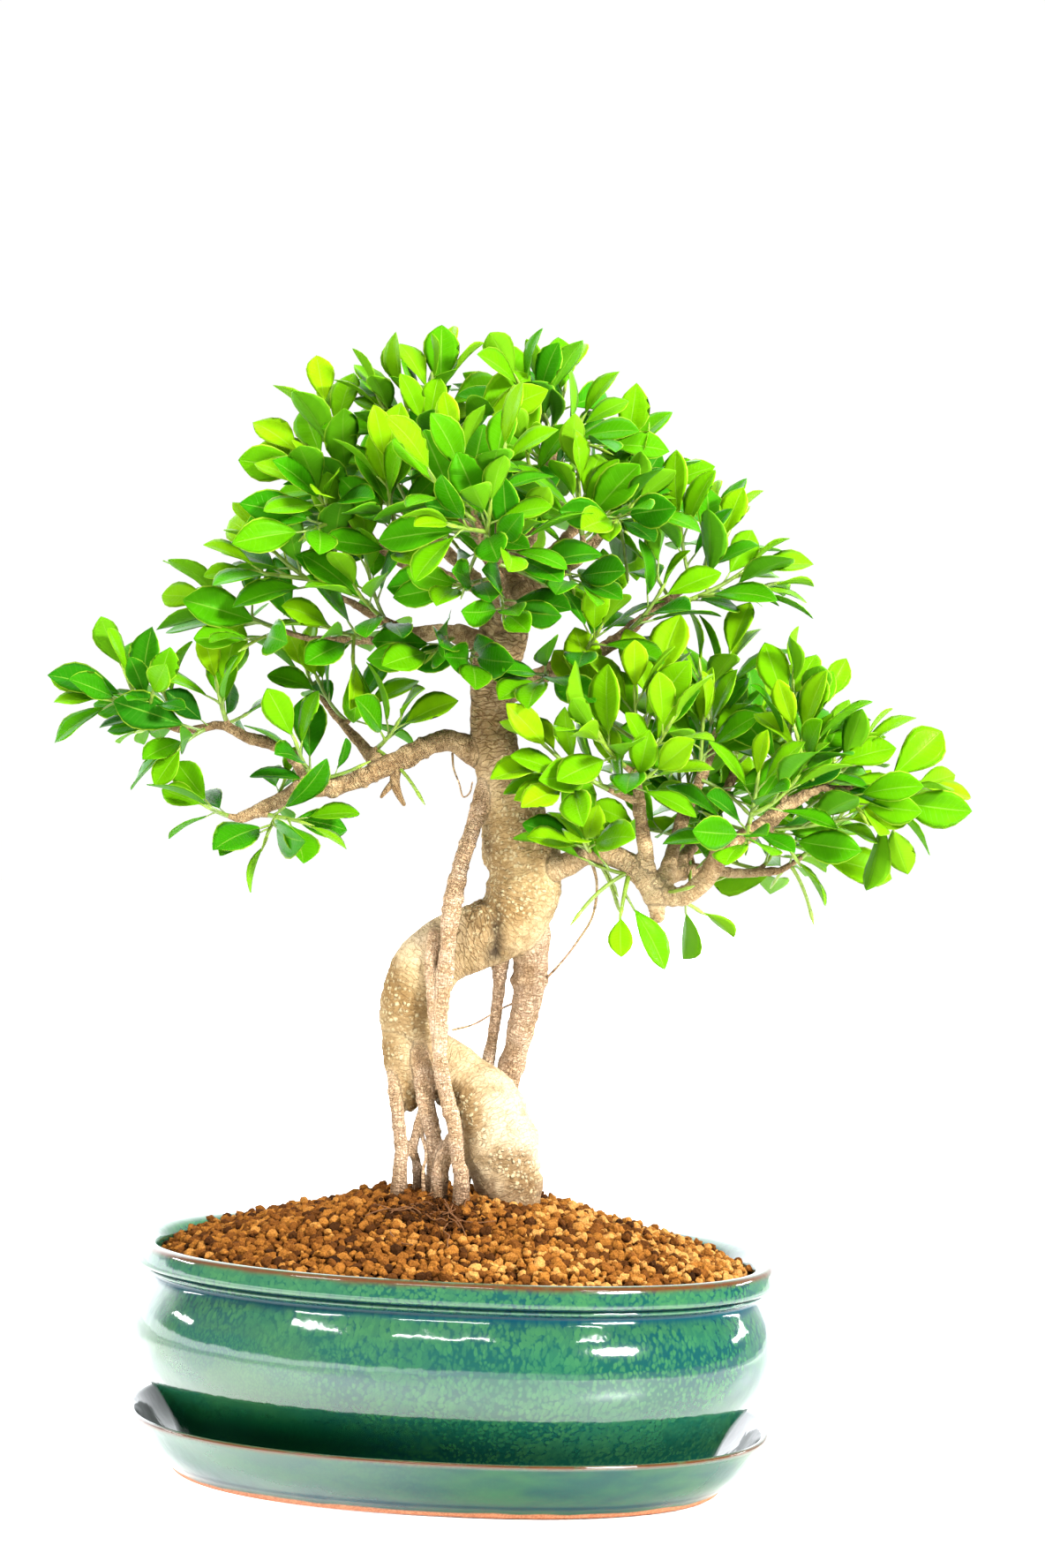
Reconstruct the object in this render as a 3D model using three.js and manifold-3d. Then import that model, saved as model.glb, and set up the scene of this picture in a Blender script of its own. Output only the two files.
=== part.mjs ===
// Ficus bonsai with aerial roots, growing in a glazed oval pot that stands on its saucer.
// Millimetres. Origin: centre of the saucer's flat underside.
// X runs along the pot, Y away from the viewer, Z up.
import * as THREE from "three";
import { mergeVertices } from "three/addons/utils/BufferGeometryUtils.js";
import Module from "manifold-3d";

const wasm = await Module();
wasm.setup();

// Driving dimensions
const POT_LENGTH = 300; // over the belly
const LENGTH_LESS_WIDTH = 72.6; // the oval's length less its width, the same at every level
const OVAL_POWER = 2.27; // 2 is an ellipse, more is squarer
const OVAL_SIDES = 32;
const OVAL_INNER = 110; // half length below which the oval only shrinks in proportion
const GAP = 0.3; // left between pieces that touch
const SEAM = 0.45; // from the end of a twig to the base of its shoot
const SAUCER_HEIGHT = 28.3;
const SAUCER_FLOOR = 6;
const POT_RIM = 106; // height of the rim above the table
const POT_FLOOR = 20;
const SOIL_TOP = 132;
const SOIL_GRAIN = 1.6; // height of the relief of the granules
const GRAIN_WAVES = [0.61, 0.23, 0.57, 0.31]; // radians a millimetre
const HOLE_DEPTH = 97; // the roots end at this height inside the soil
const HOLE_CLEARANCE = 1.2;
const THICK_ROOT = 10;
const DRAIN_X = 70;
const DRAIN_RADIUS = 11;
const SCREEN_SIZE = 32;
const SCREEN_THICKNESS = 1.2;
const SCREEN_OPENING = 8;
const SCREEN_PITCH = 13;
const SCREEN_CUT = 4; // taller than the plate, so that the openings go right through

const TRUNK_SIDES = 9;
const THICK_SIDES = 5;
const THIN_SIDES = 4;
const THIN_LIMB = 4.9; // limbs that start no thicker than this radius are thin
const TWIG_SIDES = 3;
const TWIG_RADIUS = 2.4; // the greatest radius where a twig leaves its limb
const SHOOT_RADIUS = 1.7;
const TIP_RADIUS = 1.3;
const SHOOT_LENGTH = 40;
const SHOOT_SHARE = [0.3, 0.7]; // least and greatest share of its route that is green shoot
const ROUTE_BEND = [0.6, 0.35]; // where a route bends: share of its run, share of its rise
const FORK = 0.25; // where a side shoot leaves its shoot, as a share of it
const SIDE_BARE = 0.25; // share of a side shoot below its first leaf

const TIP_LEAF = 27; // how far the last leaf reaches past its shoot
const LEAF_LENGTH = 31;
const LEAF_WIDTH = 0.6; // of the leaf's length
const LEAF_THICKNESS = 0.7;
const LEAF_ARCH = 0.16; // drop at the leaf's tip, of its length
const LEAF_ROWS = [0.3, 0.72]; // places along the blade where its outline turns
const PETIOLE = 8;
const PETIOLE_ROOT = 0.5; // half the petiole's width inside the shoot
const LEAF_SPACING = 4.4; // along a shoot
const MOST_LEAVES = 10; // on one shoot
const LEAST_LEAVES = 5;
const LEAVES_KEPT = [0, 2, 5]; // the leaves built here, counted from the shoot's tip
const LEAF_SIZES = [0.86, 1.16]; // least and greatest size of a leaf
const YOUNG_SIZE = 0.72; // size of the youngest leaf beside the oldest
const TIP_PLACE = 0.995; // where the last leaf grows, along its shoot
const TIP_CROWDING = 0.4; // how much closer the next leaves are to it, in leaf spacings
const OPENING = [74, 24]; // degrees from the shoot, at its base and at its tip
const OPENING_SPREAD = 9;
const TIP_OPENING = 8;
const LEAF_TWIST = 28; // degrees at most, either way
const LIGHT = [0, -0.12, 0.8]; // leaves turn their faces this way
const FORWARD = 0.55; // and along their shoot
const TIP_OUTWARD = 0.6; // and outwards, for the last leaf
const GOLDEN_ANGLE = 137.5;
const SWINGS = [0, 25, -25, 50, -50, 80, -80, 115, -115, 150, -150]; // tried until the leaf is clear

// Grown wood: each limb or root as stations of [x, y, z, radius], chosen by hand along it
const TRUNK = [
  [3, 4, 458, 2.9], [7, 4, 438, 4.6], [10, 3, 419, 7], [9, 0, 398, 10.3], [5, 0, 378, 12],
  [4, 0, 357, 9.9], [7, 0, 338, 11.1], [14, 0, 318, 14.9], [20, 0, 298, 17.8], [23, 0, 277, 17.6],
  [17, 0, 259, 16.5], [2, 0, 251, 14.9], [-14, 0, 243, 14.5], [-24, 0, 229, 14.5], [-27, 1, 211, 13.5],
  [-20, 3, 196, 12], [-6, 3, 186, 14], [8, 0, 173, 17], [18, -2, 153, 18.8], [23, -2, 139, 16.5],
  [24, -2, 135, 14.8], [24, -2, HOLE_DEPTH, 14.5],
];
const ROOTS = {
  column_foot: [[-27, 2, 217, 12.5], [-28, 0, 198, 11], [-27, -2, 183, 8], [-25, -4, 170, 4]],
  right_leg: [
    [26, 4, 268, 11], [28, 8, 246, 8.5], [28, 12, 225, 7.8], [24, 20, 201, 6.6], [20, 28, 181, 6.1],
    [17, 33, 153, 5.9], [16, 33, 138, 6], [16, 33, HOLE_DEPTH, 6],
  ],
  middle_leg: [
    [13, 8, 249, 6], [14, 14, 232, 3.2], [13, 20, 213, 2.9], [11, 26, 195, 2.9], [6, 30, 165, 3],
    [2, 31, 138, 3], [2, 31, HOLE_DEPTH, 3],
  ],
  front_root: [
    [6, -4, 325, 6.5], [0, -11, 307, 4.4], [-4, -15, 293, 3.9], [-8, -18, 276, 4.3], [-10, -20, 258, 4.1],
    [-11, -20, 237, 3.5], [-12, -20, 215, 3.3], [-12, -19, 199, 3.5], [-9, -20, 182, 3.4],
    [-4, -23, 166, 3.5], [-1, -25, 149, 3.5], [1, -25, 138, 3.7], [1, -25, HOLE_DEPTH, 3.7],
  ],
  side_strand: [[-17, -11, 252, 3.4], [-18, -17, 235, 2.6], [-16, -19, 217, 2.5], [-13, -19, 199, 2.6]],
  left_root: [
    [-30, -2, 192, 5.5], [-32, -6, 180, 3.7], [-30, -8, 166, 3], [-28, -9, 152, 3], [-28, -10, 141, 3.6],
    [-28, -10, 134, 4], [-28, -10, HOLE_DEPTH, 4],
  ],
  cluster: [
    [-24, -4, 199, 6.5], [-19, -9, 187, 5], [-17, -12, 173, 4.4], [-13, -12, 158, 3.6], [-12, -10, 142, 3.7],
    [-12, -9, 136, 3.7], [-12, -9, HOLE_DEPTH, 3.7],
  ],
  cluster_left: [
    [-17, -11, 173, 3.4], [-21, -10, 159, 2.4], [-22, -8, 150, 2], [-20, -4, 139, 2.2],
    [-20, -4, HOLE_DEPTH, 2.2],
  ],
  yellow_root: [
    [2, -8, 168, 4.5], [-4, -12, 156, 3.8], [-8, -15, 146, 4.2], [-9, -17, 137, 4.3],
    [-9, -17, HOLE_DEPTH, 4.3],
  ],
  hair_root: [
    [53, -16, 292, 1.6], [57, -12, 279, 1], [56, -8, 264, 1], [50, -4, 252, 1], [42, 3, 240, 1],
    [32, 10, 228, 1.3],
  ],
};
const LIMBS = {
  left_limb: [
    [7, 0, 333, 8.5], [-6, -2, 339, 6], [-16, -4, 342, 5], [-28, -6, 337, 4.9], [-40, -8, 330, 4.9],
    [-54, -10, 323, 4.6], [-67, -10, 318, 4.5], [-80, -10, 317, 4.6], [-89, -12, 312, 3.8],
    [-98, -14, 307, 3.3], [-110, -15, 301, 2.8],
  ],
  left_upper: [
    [-78, -10, 318, 4], [-85, -8, 329, 3.2], [-96, -6, 336, 2.9], [-109, -4, 339, 2.5], [-122, -2, 344, 2.1],
    [-138, 0, 341, 1.8], [-153, 0, 344, 1.6],
  ],
  left_back: [[-46, -7, 328, 4.1], [-56, 8, 338, 2.6], [-68, 18, 350, 2.1], [-79, 24, 362, 1.7]],
  right_limb: [
    [28, -3, 284, 9], [42, -12, 287, 6], [54, -20, 293, 5], [67, -26, 291, 5.3], [77, -30, 284, 5.7],
    [84, -32, 275, 6.1],
  ],
  right_stub: [[83, -32, 279, 5.3], [85, -33, 265, 3.4]],
  right_front: [
    [84, -32, 276, 5], [97, -34, 276, 4.6], [106, -34, 284, 4.4], [112, -34, 295, 4.4], [121, -32, 303, 4],
    [133, -30, 311, 3.6], [145, -28, 321, 2.8], [157, -26, 328, 2],
  ],
  right_back: [
    [80, -29, 281, 4.7], [93, -14, 285, 3.4], [108, 6, 287, 2.9], [126, 20, 286, 2.4],
    [145, 28, 288, 1.8],
  ],
  right_rise: [
    [80, -30, 281, 4.9], [78, -32, 295, 3.6], [75, -34, 311, 3.2], [73, -34, 327, 2.6],
    [73, -32, 341, 1.8],
  ],
  right_mid: [
    [87, -31, 278, 4.2], [91, -20, 295, 3.3], [96, -10, 312, 2.9], [104, -2, 331, 2.5],
    [110, 6, 348, 1.9],
  ],
  right_far_back: [[91, -16, 285, 3.3], [104, 16, 301, 2.9], [115, 34, 318, 2.5], [123, 46, 336, 1.9]],
  crown_right: [
    [9, 0, 366, 7], [23, -6, 372, 5], [37, -10, 380, 4.1], [50, -12, 385, 3.5], [62, -12, 393, 2.9],
    [75, -10, 405, 2.3], [89, -6, 416, 1.9],
  ],
  crown_left: [
    [6, 0, 384, 7], [-8, -8, 390, 4.6], [-21, -14, 392, 3.5], [-35, -18, 391, 2.7],
    [-49, -20, 396, 2.1], [-62, -20, 403, 1.8],
  ],
  crown_left_low: [
    [-19, -14, 392, 3.2], [-39, -12, 387, 2.2], [-62, -10, 386, 1.8], [-82, -8, 386, 1.6],
  ],
  crown_left_high: [
    [10, 2, 409, 6], [-5, -6, 414, 4], [-22, -12, 418, 3.1], [-38, -18, 422, 2.7],
    [-53, -22, 431, 2.2], [-68, -22, 439, 1.8],
  ],
  crown_front: [
    [9, -2, 398, 6.5], [7, -22, 409, 4.1], [4, -36, 418, 3.2], [-1, -48, 426, 2.4],
    [-4, -54, 437, 1.8],
  ],
  crown_up_left: [
    [9, 4, 421, 5], [-2, 0, 435, 3.7], [-15, -4, 449, 3.1], [-24, -6, 462, 2.5], [-29, -8, 478, 1.8],
  ],
  crown_up_right: [
    [10, 4, 426, 4.6], [18, 2, 440, 3.5], [22, 2, 455, 2.9], [26, 2, 470, 2.3], [28, 2, 484, 1.7],
  ],
  crown_mid_right: [
    [10, 0, 409, 5.6], [23, -8, 417, 3.9], [35, -14, 424, 3.3], [46, -18, 434, 2.7], [56, -18, 447, 2],
  ],
  crown_back_left: [
    [9, 4, 401, 5.6], [-1, 24, 414, 4], [-15, 38, 427, 3.2], [-31, 48, 442, 2.6], [-45, 54, 454, 1.9],
  ],
  crown_back_right: [
    [11, 4, 405, 5.6], [18, 26, 419, 4], [28, 42, 433, 3.2], [39, 52, 447, 2.6], [52, 58, 459, 1.9],
  ],
};

// Foliage on each limb: [how far along the limb the twig leaves it, tip of the shoot, tip of its side shoot]
const SPRAYS = {
  crown_up_left: [
    [1, [-32, -12, 532], [-20, 24, 535]],
    [0.75, [-56, 6, 526], [-73, -6, 516]],
    [0.5, [-43, -42, 504]],
  ],
  crown_up_right: [
    [1, [10, 0, 531], [-2, -24, 521]],
    [0.75, [22, 34, 513], [52, 4, 507]],
    [0.5, [10, -50, 490]],
  ],
  crown_left_high: [
    [0.8, [-90, 16, 516], [-108, 4, 476]],
    [1, [-93, -26, 467], [-76, -50, 450]],
    [0.6, [-54, -58, 486]],
  ],
  crown_front: [
    [1, [-24, -62, 497]],
    [0.85, [2, -88, 456], [-29, -86, 437]],
    [0.6, [25, -76, 452]],
  ],
  crown_mid_right: [
    [0.7, [36, -34, 489]],
    [1, [72, -22, 459], [54, -58, 439]],
  ],
  crown_back_left: [
    [0.8, [-36, 66, 501], [-18, 96, 452]],
    [1, [-70, 72, 470], [-97, 56, 437]],
  ],
  crown_back_right: [
    [0.8, [9, 70, 499], [18, 100, 450]],
    [1, [56, 86, 488], [76, 68, 433]],
  ],
  crown_left: [
    [1, [-126, -8, 443], [-129, -24, 417]],
    [0.7, [-72, -60, 417]],
  ],
  crown_left_low: [
    [1, [-153, 6, 414], [-128, 20, 389]],
    [0.5, [-91, -28, 394], [-60, -30, 371]],
  ],
  crown_right: [
    [1, [126, 4, 464], [108, 30, 466]],
    [0.85, [143, -8, 440], [154, 14, 427]],
    [0.65, [95, -34, 433]],
    [0.4, [60, -44, 405]],
  ],
  left_upper: [
    [1, [-181, -4, 386], [-186, -12, 354]],
    [0.85, [-161, 16, 376]],
    [0.6, [-130, -14, 379]],
    [0.7, [-148, -22, 327]],
  ],
  left_limb: [
    [1, [-138, -8, 309]],
    [0.95, [-59, -28, 298], [-100, -32, 284]],
    [0.65, [-95, -30, 353]],
  ],
  left_back: [
    [1, [-89, 32, 378]],
    [0.6, [-52, 26, 361]],
    [0.2, [-27, -30, 361]],
  ],
  right_rise: [
    [0.6, [8, -58, 352], [30, -66, 319]],
    [0.8, [38, -74, 359]],
    [1, [66, -52, 389]],
  ],
  right_mid: [
    [1, [94, 0, 405], [122, 16, 407]],
    [0.7, [102, -34, 375]],
  ],
  right_front: [
    [0.8, [144, -18, 404], [168, -14, 385]],
    [0.95, [194, -8, 363]],
    [1, [228, -14, 332], [201, -10, 302]],
    [0.6, [130, -58, 352], [158, -52, 341]],
    [0.7, [159, -30, 285]],
  ],
  right_back: [
    [1, [193, 44, 335], [174, 40, 368]],
    [0.85, [153, 52, 312]],
    [0.4, [91, 60, 364]],
  ],
  right_far_back: [
    [1, [121, 66, 370], [151, 52, 384]],
    [0.5, [75, 72, 347]],
  ],
  right_limb: [
    [0.7, [64, -62, 250]],
    [0.95, [124, -2, 262]],
    [0.4, [46, -60, 302]],
  ],
};

// Seeded draws, one chain for the whole tree
const DRAW_FACTOR = 16807;
const DRAW_MODULUS = 2147483647;
let drawState = 20231;
function draw() {
  drawState = (drawState * DRAW_FACTOR) % DRAW_MODULUS;
  return drawState / DRAW_MODULUS;
}

const vec = (p) => new THREE.Vector3(p[0], p[1], p[2]);
const mix = (a, b, t) => a + (b - a) * t;
const radians = THREE.MathUtils.degToRad;

// A closed geometry as a solid
function solid(geometry) {
  const bare = new THREE.BufferGeometry();
  bare.setAttribute("position", geometry.getAttribute("position"));
  bare.setIndex(geometry.index);
  const merged = mergeVertices(bare, 1e-4);
  const kept = [];
  for (let i = 0; i < merged.index.count; i += 3) {
    const [a, b, c] = [0, 1, 2].map((k) => merged.index.getX(i + k));
    if (a !== b && b !== c && a !== c) {
      kept.push(a, b, c);
    }
  }
  const vertProperties = new Float32Array(merged.attributes.position.array);
  return new wasm.Manifold(new wasm.Mesh({ numProp: 3, vertProperties, triVerts: new Uint32Array(kept) }));
}

function geometryOf(body) {
  const mesh = body.getMesh();
  const geometry = new THREE.BufferGeometry();
  geometry.setAttribute("position", new THREE.BufferAttribute(mesh.vertProperties, 3));
  geometry.setIndex(new THREE.BufferAttribute(mesh.triVerts, 1));
  geometry.computeVertexNormals();
  return geometry;
}

function fromArrays(position, index) {
  const geometry = new THREE.BufferGeometry();
  geometry.setAttribute("position", new THREE.Float32BufferAttribute(position, 3));
  geometry.setIndex(index);
  return geometry;
}

// Oval point at half length a and angle theta
function ovalPoint(a, theta) {
  const halfWidth = a - (LENGTH_LESS_WIDTH / 2) * Math.min(1, a / OVAL_INNER);
  const shape = (v) => Math.sign(v) * Math.abs(v) ** (2 / OVAL_POWER);
  return [a * shape(Math.cos(theta)), halfWidth * shape(Math.sin(theta))];
}

// An oval body from a profile of [half length, height], from the axis round the outside and back to the axis
function ovalBody(profile, raise = () => 0) {
  const outline = profile.map(([a, z]) => new THREE.Vector2(a, z));
  const lathe = new THREE.LatheGeometry(outline, OVAL_SIDES);
  lathe.rotateX(Math.PI / 2);
  const position = lathe.getAttribute("position");
  for (let i = 0; i < position.count; i++) {
    const a = Math.hypot(position.getX(i), position.getY(i));
    const [x, y] = ovalPoint(a, Math.atan2(position.getY(i), position.getX(i)));
    const z = position.getZ(i);
    position.setXYZ(i, x, y, z + raise(x, y, z));
  }
  return solid(lathe);
}

// A tube through stations of [x, y, z, radius] with flat ends
function tube(stations, sides) {
  const position = [];
  const index = [];
  const at = stations.map(vec);
  let side = new THREE.Vector3(1, 0, 0);
  stations.forEach((station, j) => {
    const tangent = at[Math.min(j + 1, at.length - 1)].clone().sub(at[Math.max(j - 1, 0)]).normalize();
    if (j === 0 && Math.abs(tangent.x) > 0.8) {
      side.set(0, 1, 0);
    }
    side = side.addScaledVector(tangent, -side.dot(tangent)).normalize();
    const up = new THREE.Vector3().crossVectors(tangent, side);
    for (let k = 0; k < sides; k++) {
      const turn = (2 * Math.PI * k) / sides;
      const rim = at[j].clone();
      rim.addScaledVector(side, station[3] * Math.cos(turn));
      rim.addScaledVector(up, station[3] * Math.sin(turn));
      position.push(rim.x, rim.y, rim.z);
    }
  });
  for (let j = 0; j + 1 < stations.length; j++) {
    for (let k = 0; k < sides; k++) {
      const a = j * sides + k;
      const b = j * sides + ((k + 1) % sides);
      index.push(a, b, b + sides, a, b + sides, a + sides);
    }
  }
  const last = (stations.length - 1) * sides;
  for (let k = 1; k + 1 < sides; k++) {
    index.push(0, k + 1, k);
    index.push(last, last + k, last + k + 1);
  }
  return solid(fromArrays(position, index));
}

function alongLimb(stations, share) {
  const place = share * (stations.length - 1);
  const i = Math.min(Math.floor(place), stations.length - 2);
  return stations[i].map((value, k) => mix(value, stations[i + 1][k], place - i));
}

// The route of a twig and its shoot from the limb outwards, flat at first and rising later
function route(start, reached) {
  const distance = vec(start).distanceTo(vec(reached));
  const share = Math.max(1 - TIP_LEAF / distance, 0.5);
  const tip = start.map((value, k) => mix(value, reached[k], share));
  const [run, rise] = ROUTE_BEND;
  const bend = [mix(start[0], tip[0], run), mix(start[1], tip[1], run), mix(start[2], tip[2], rise)];
  return new THREE.QuadraticBezierCurve3(vec(start), vec(bend), vec(tip));
}

// A point of a route with a radius
const station = (curve, t, r) => [...curve.getPoint(t).toArray(), r];

// A route split into its woody twig and its green shoot, which starts a seam beyond the twig
function mainShoot(start, thickness, reached) {
  const curve = route(start, reached);
  const reach = curve.v0.distanceTo(curve.v2);
  const split = 1 - THREE.MathUtils.clamp(SHOOT_LENGTH / reach, ...SHOOT_SHARE);
  const thick = Math.min(thickness, TWIG_RADIUS);
  const twig = [0, 0.5, 1].map((s) => station(curve, s * split, mix(thick, SHOOT_RADIUS, s)));
  const base = curve.getPoint(split).addScaledVector(curve.getTangent(split), SEAM);
  const stem = [[...base.toArray(), SHOOT_RADIUS]];
  for (const s of [0.5, 1]) {
    stem.push(station(curve, mix(split, 1, s), mix(SHOOT_RADIUS, TIP_RADIUS, s)));
  }
  return { curve, split, reach, twig, stem };
}

// A shoot that forks off another
function sideShoot(main, reached) {
  const fork = main.curve.getPoint(mix(main.split, 1, FORK)).toArray();
  const curve = route(fork, reached);
  const reach = curve.v0.distanceTo(curve.v2);
  const stem = [0, 0.5, 1].map((t) => station(curve, t, mix(SHOOT_RADIUS, TIP_RADIUS, t)));
  return { curve, split: SIDE_BARE, reach, stem };
}

// Half the blade's width as a share of its greatest, from base (0) to tip (1)
function bladeShape(u) {
  return Math.sin(Math.PI * u ** 0.88) ** 0.72;
}

// Where leaf i of a shoot grows, how it opens and how large it is; every leaf takes the same three draws
function leafPlan(shoot, i, count, phase) {
  const young = 1 - i / count;
  const size = mix(...LEAF_SIZES, draw()) * mix(1, YOUNG_SIZE, young ** 2);
  const twist = mix(-LEAF_TWIST, LEAF_TWIST, draw());
  const tilt = mix(-OPENING_SPREAD, OPENING_SPREAD, draw());
  const t = i === 0 ? TIP_PLACE : mix(shoot.split, 1, 1 - i / (count - TIP_CROWDING));
  const opening = i === 0 ? TIP_OPENING : mix(...OPENING, young) + tilt;
  return { t, size, twist, opening, azimuth: phase + i * GOLDEN_ANGLE };
}

// The leaf's own frame on its shoot: origin, direction, side and normal
function leafFrame(curve, plan, swing) {
  const tangent = curve.getTangent(plan.t);
  const across = new THREE.Vector3(0, 0, 1).cross(tangent);
  if (across.length() < 0.05) {
    across.set(1, 0, 0);
  }
  across.normalize();
  const over = new THREE.Vector3().crossVectors(tangent, across);
  const azimuth = radians(plan.azimuth + swing);
  const outward = across.multiplyScalar(Math.cos(azimuth)).addScaledVector(over, Math.sin(azimuth));
  const opening = radians(plan.opening);
  const direction = tangent.clone().multiplyScalar(Math.cos(opening));
  direction.addScaledVector(outward, Math.sin(opening));
  const normal = tangent.clone().multiplyScalar(FORWARD).add(vec(LIGHT));
  if (plan.opening === TIP_OPENING) {
    normal.addScaledVector(outward, TIP_OUTWARD);
  }
  normal.addScaledVector(direction, -normal.dot(direction)).normalize();
  normal.applyAxisAngle(direction, radians(plan.twist));
  const side = new THREE.Vector3().crossVectors(direction, normal);
  return { origin: curve.getPoint(plan.t), direction, side, normal };
}

// A leaf as one thin arched plate with its petiole, root inside the shoot
function leafBody({ origin, direction, side, normal }, size) {
  const length = LEAF_LENGTH * size;
  const petiole = PETIOLE * size;
  const halfWidth = (length * LEAF_WIDTH) / 2;
  const rows = [[0, PETIOLE_ROOT]];
  for (const u of LEAF_ROWS) {
    rows.push([petiole + u * length, halfWidth * bladeShape(u)]);
  }
  rows.push([petiole + length, 0]);
  const position = [];
  const index = [];
  for (const [run, half] of rows) {
    const drop = -LEAF_ARCH * length * (Math.max(run - petiole, 0) / length) ** 2;
    for (const [across, over] of [[-1, -1], [1, -1], [1, 1], [-1, 1]]) {
      const p = origin.clone().addScaledVector(direction, run);
      p.addScaledVector(side, across * half);
      p.addScaledVector(normal, drop + (over * LEAF_THICKNESS) / 2);
      position.push(p.x, p.y, p.z);
    }
  }
  for (let j = 0; j + 1 < rows.length; j++) {
    for (let k = 0; k < 4; k++) {
      const a = 4 * j + k;
      const b = 4 * j + ((k + 1) % 4);
      index.push(a, b + 4, b, a, a + 4, b + 4);
    }
  }
  index.push(0, 1, 2, 0, 2, 3);
  return solid(fromArrays(position, index));
}

function boxesMeet(a, b, margin) {
  return [0, 1, 2].every((k) => a.min[k] - margin < b.max[k] && b.min[k] - margin < a.max[k]);
}

// True when a body keeps its distance from all the others
function isClear(body, others) {
  const box = body.boundingBox();
  return others.every((other) => !boxesMeet(box, other.box, GAP) || body.minGap(other.body, 1) >= GAP);
}

const boxed = (body) => ({ body, box: body.boundingBox() });

// Pieces
function buildSaucer() {
  return ovalBody([
    [0, 0], [127.6, 0], [131, 2.5], [143, 17], [149, SAUCER_HEIGHT - 1.6], [148, SAUCER_HEIGHT],
    [145.6, SAUCER_HEIGHT - 0.6], [139, 17], [126, 8.5], [122.6, SAUCER_FLOOR], [0, SAUCER_FLOOR],
  ]);
}

function buildPot() {
  const foot = SAUCER_FLOOR + GAP;
  const belly = POT_LENGTH / 2;
  const body = ovalBody([
    [0, foot + 4], [110, foot + 4], [112, foot], [120, foot], [125.5, 12], [128.5, 23], [136, 35],
    [145.5, 47], [belly, 62], [147.6, 78], [142, 91], [147.5, 95.5], [148.6, 103], [146, POT_RIM],
    [139.5, POT_RIM - 1.5], [136.5, 96], [141, 70], [137, 45], [120, 26], [112, POT_FLOOR], [0, POT_FLOOR],
  ]);
  const drain = new THREE.CylinderGeometry(DRAIN_RADIUS, DRAIN_RADIUS, 2 * POT_FLOOR, 12);
  drain.rotateX(Math.PI / 2);
  const left = solid(drain.clone().translate(-DRAIN_X, 0, POT_FLOOR));
  const right = solid(drain.clone().translate(DRAIN_X, 0, POT_FLOOR));
  return body.subtract(left).subtract(right);
}

function buildScreen(x) {
  const box = (size, height, u, v) => solid(new THREE.BoxGeometry(size, size, height).translate(u, v, 0));
  let plate = box(SCREEN_SIZE, SCREEN_THICKNESS, 0, 0);
  for (const [column, row] of [[-1, -1], [1, -1], [-1, 1], [1, 1]]) {
    const [u, v] = [(column * SCREEN_PITCH) / 2, (row * SCREEN_PITCH) / 2];
    plate = plate.subtract(box(SCREEN_OPENING, SCREEN_CUT, u, v));
  }
  return plate.translate(x, 0, POT_FLOOR + GAP + SCREEN_THICKNESS / 2);
}

// Height that the granules add to the mound at a place
function grain(x, y, z) {
  if (z < POT_RIM - 6) {
    return 0;
  }
  const [length, bend, width, sway] = GRAIN_WAVES;
  const along = Math.sin(length * x + 1.7 * Math.sin(bend * y));
  const across = Math.cos(width * y + Math.sin(sway * x));
  return SOIL_GRAIN * along * across;
}

// Plain holes in the soil for every root that ends in it, a little wider than the root
function rootHoles() {
  const ends = [TRUNK, ...Object.values(ROOTS)].map((stations) => stations[stations.length - 1]);
  const holes = [];
  for (const [x, y, z, r] of ends.filter((end) => end[2] === HOLE_DEPTH)) {
    const wide = r + HOLE_CLEARANCE;
    const sides = r > THICK_ROOT ? 12 : 7;
    holes.push(tube([[x, y, z - GAP, wide], [x, y, SOIL_TOP + 20, wide]], sides));
  }
  return wasm.Manifold.union(holes);
}

function buildSoil() {
  const bottom = POT_FLOOR + SCREEN_THICKNESS + 2 * GAP;
  const profile = [
    [0, bottom], [109, bottom], [118, 28], [135, 46], [138.5, 70], [134.8, 95], [136, POT_RIM - 8],
    [127, POT_RIM - 2], [110, 109.5], [88, 115.5], [64, 122], [42, 127.5], [20, SOIL_TOP - 1],
    [0, SOIL_TOP],
  ];
  return ovalBody(profile, grain).subtract(rootHoles());
}

// Assembly
const MATERIALS = {
  glaze: new THREE.MeshStandardMaterial({ color: 0x17604f, roughness: 0.15, metalness: 0 }),
  soil: new THREE.MeshStandardMaterial({ color: 0xa35a23, roughness: 0.95, metalness: 0 }),
  mesh: new THREE.MeshStandardMaterial({ color: 0x22262a, roughness: 0.6, metalness: 0 }),
  bark: new THREE.MeshStandardMaterial({ color: 0xb09a78, roughness: 0.85, metalness: 0 }),
  leaf: new THREE.MeshStandardMaterial({ color: 0x3f9a1e, roughness: 0.35, metalness: 0 }),
};

const group = new THREE.Group();
function addPiece(name, body, material) {
  const mesh = new THREE.Mesh(geometryOf(body), material.clone());
  mesh.name = name;
  group.add(mesh);
}

const woodBodies = [tube(TRUNK, TRUNK_SIDES)];
for (const stations of Object.values(ROOTS)) {
  woodBodies.push(tube(stations, THICK_SIDES));
}
for (const stations of Object.values(LIMBS)) {
  woodBodies.push(tube(stations, stations[0][3] > THIN_LIMB ? THICK_SIDES : THIN_SIDES));
}

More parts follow.
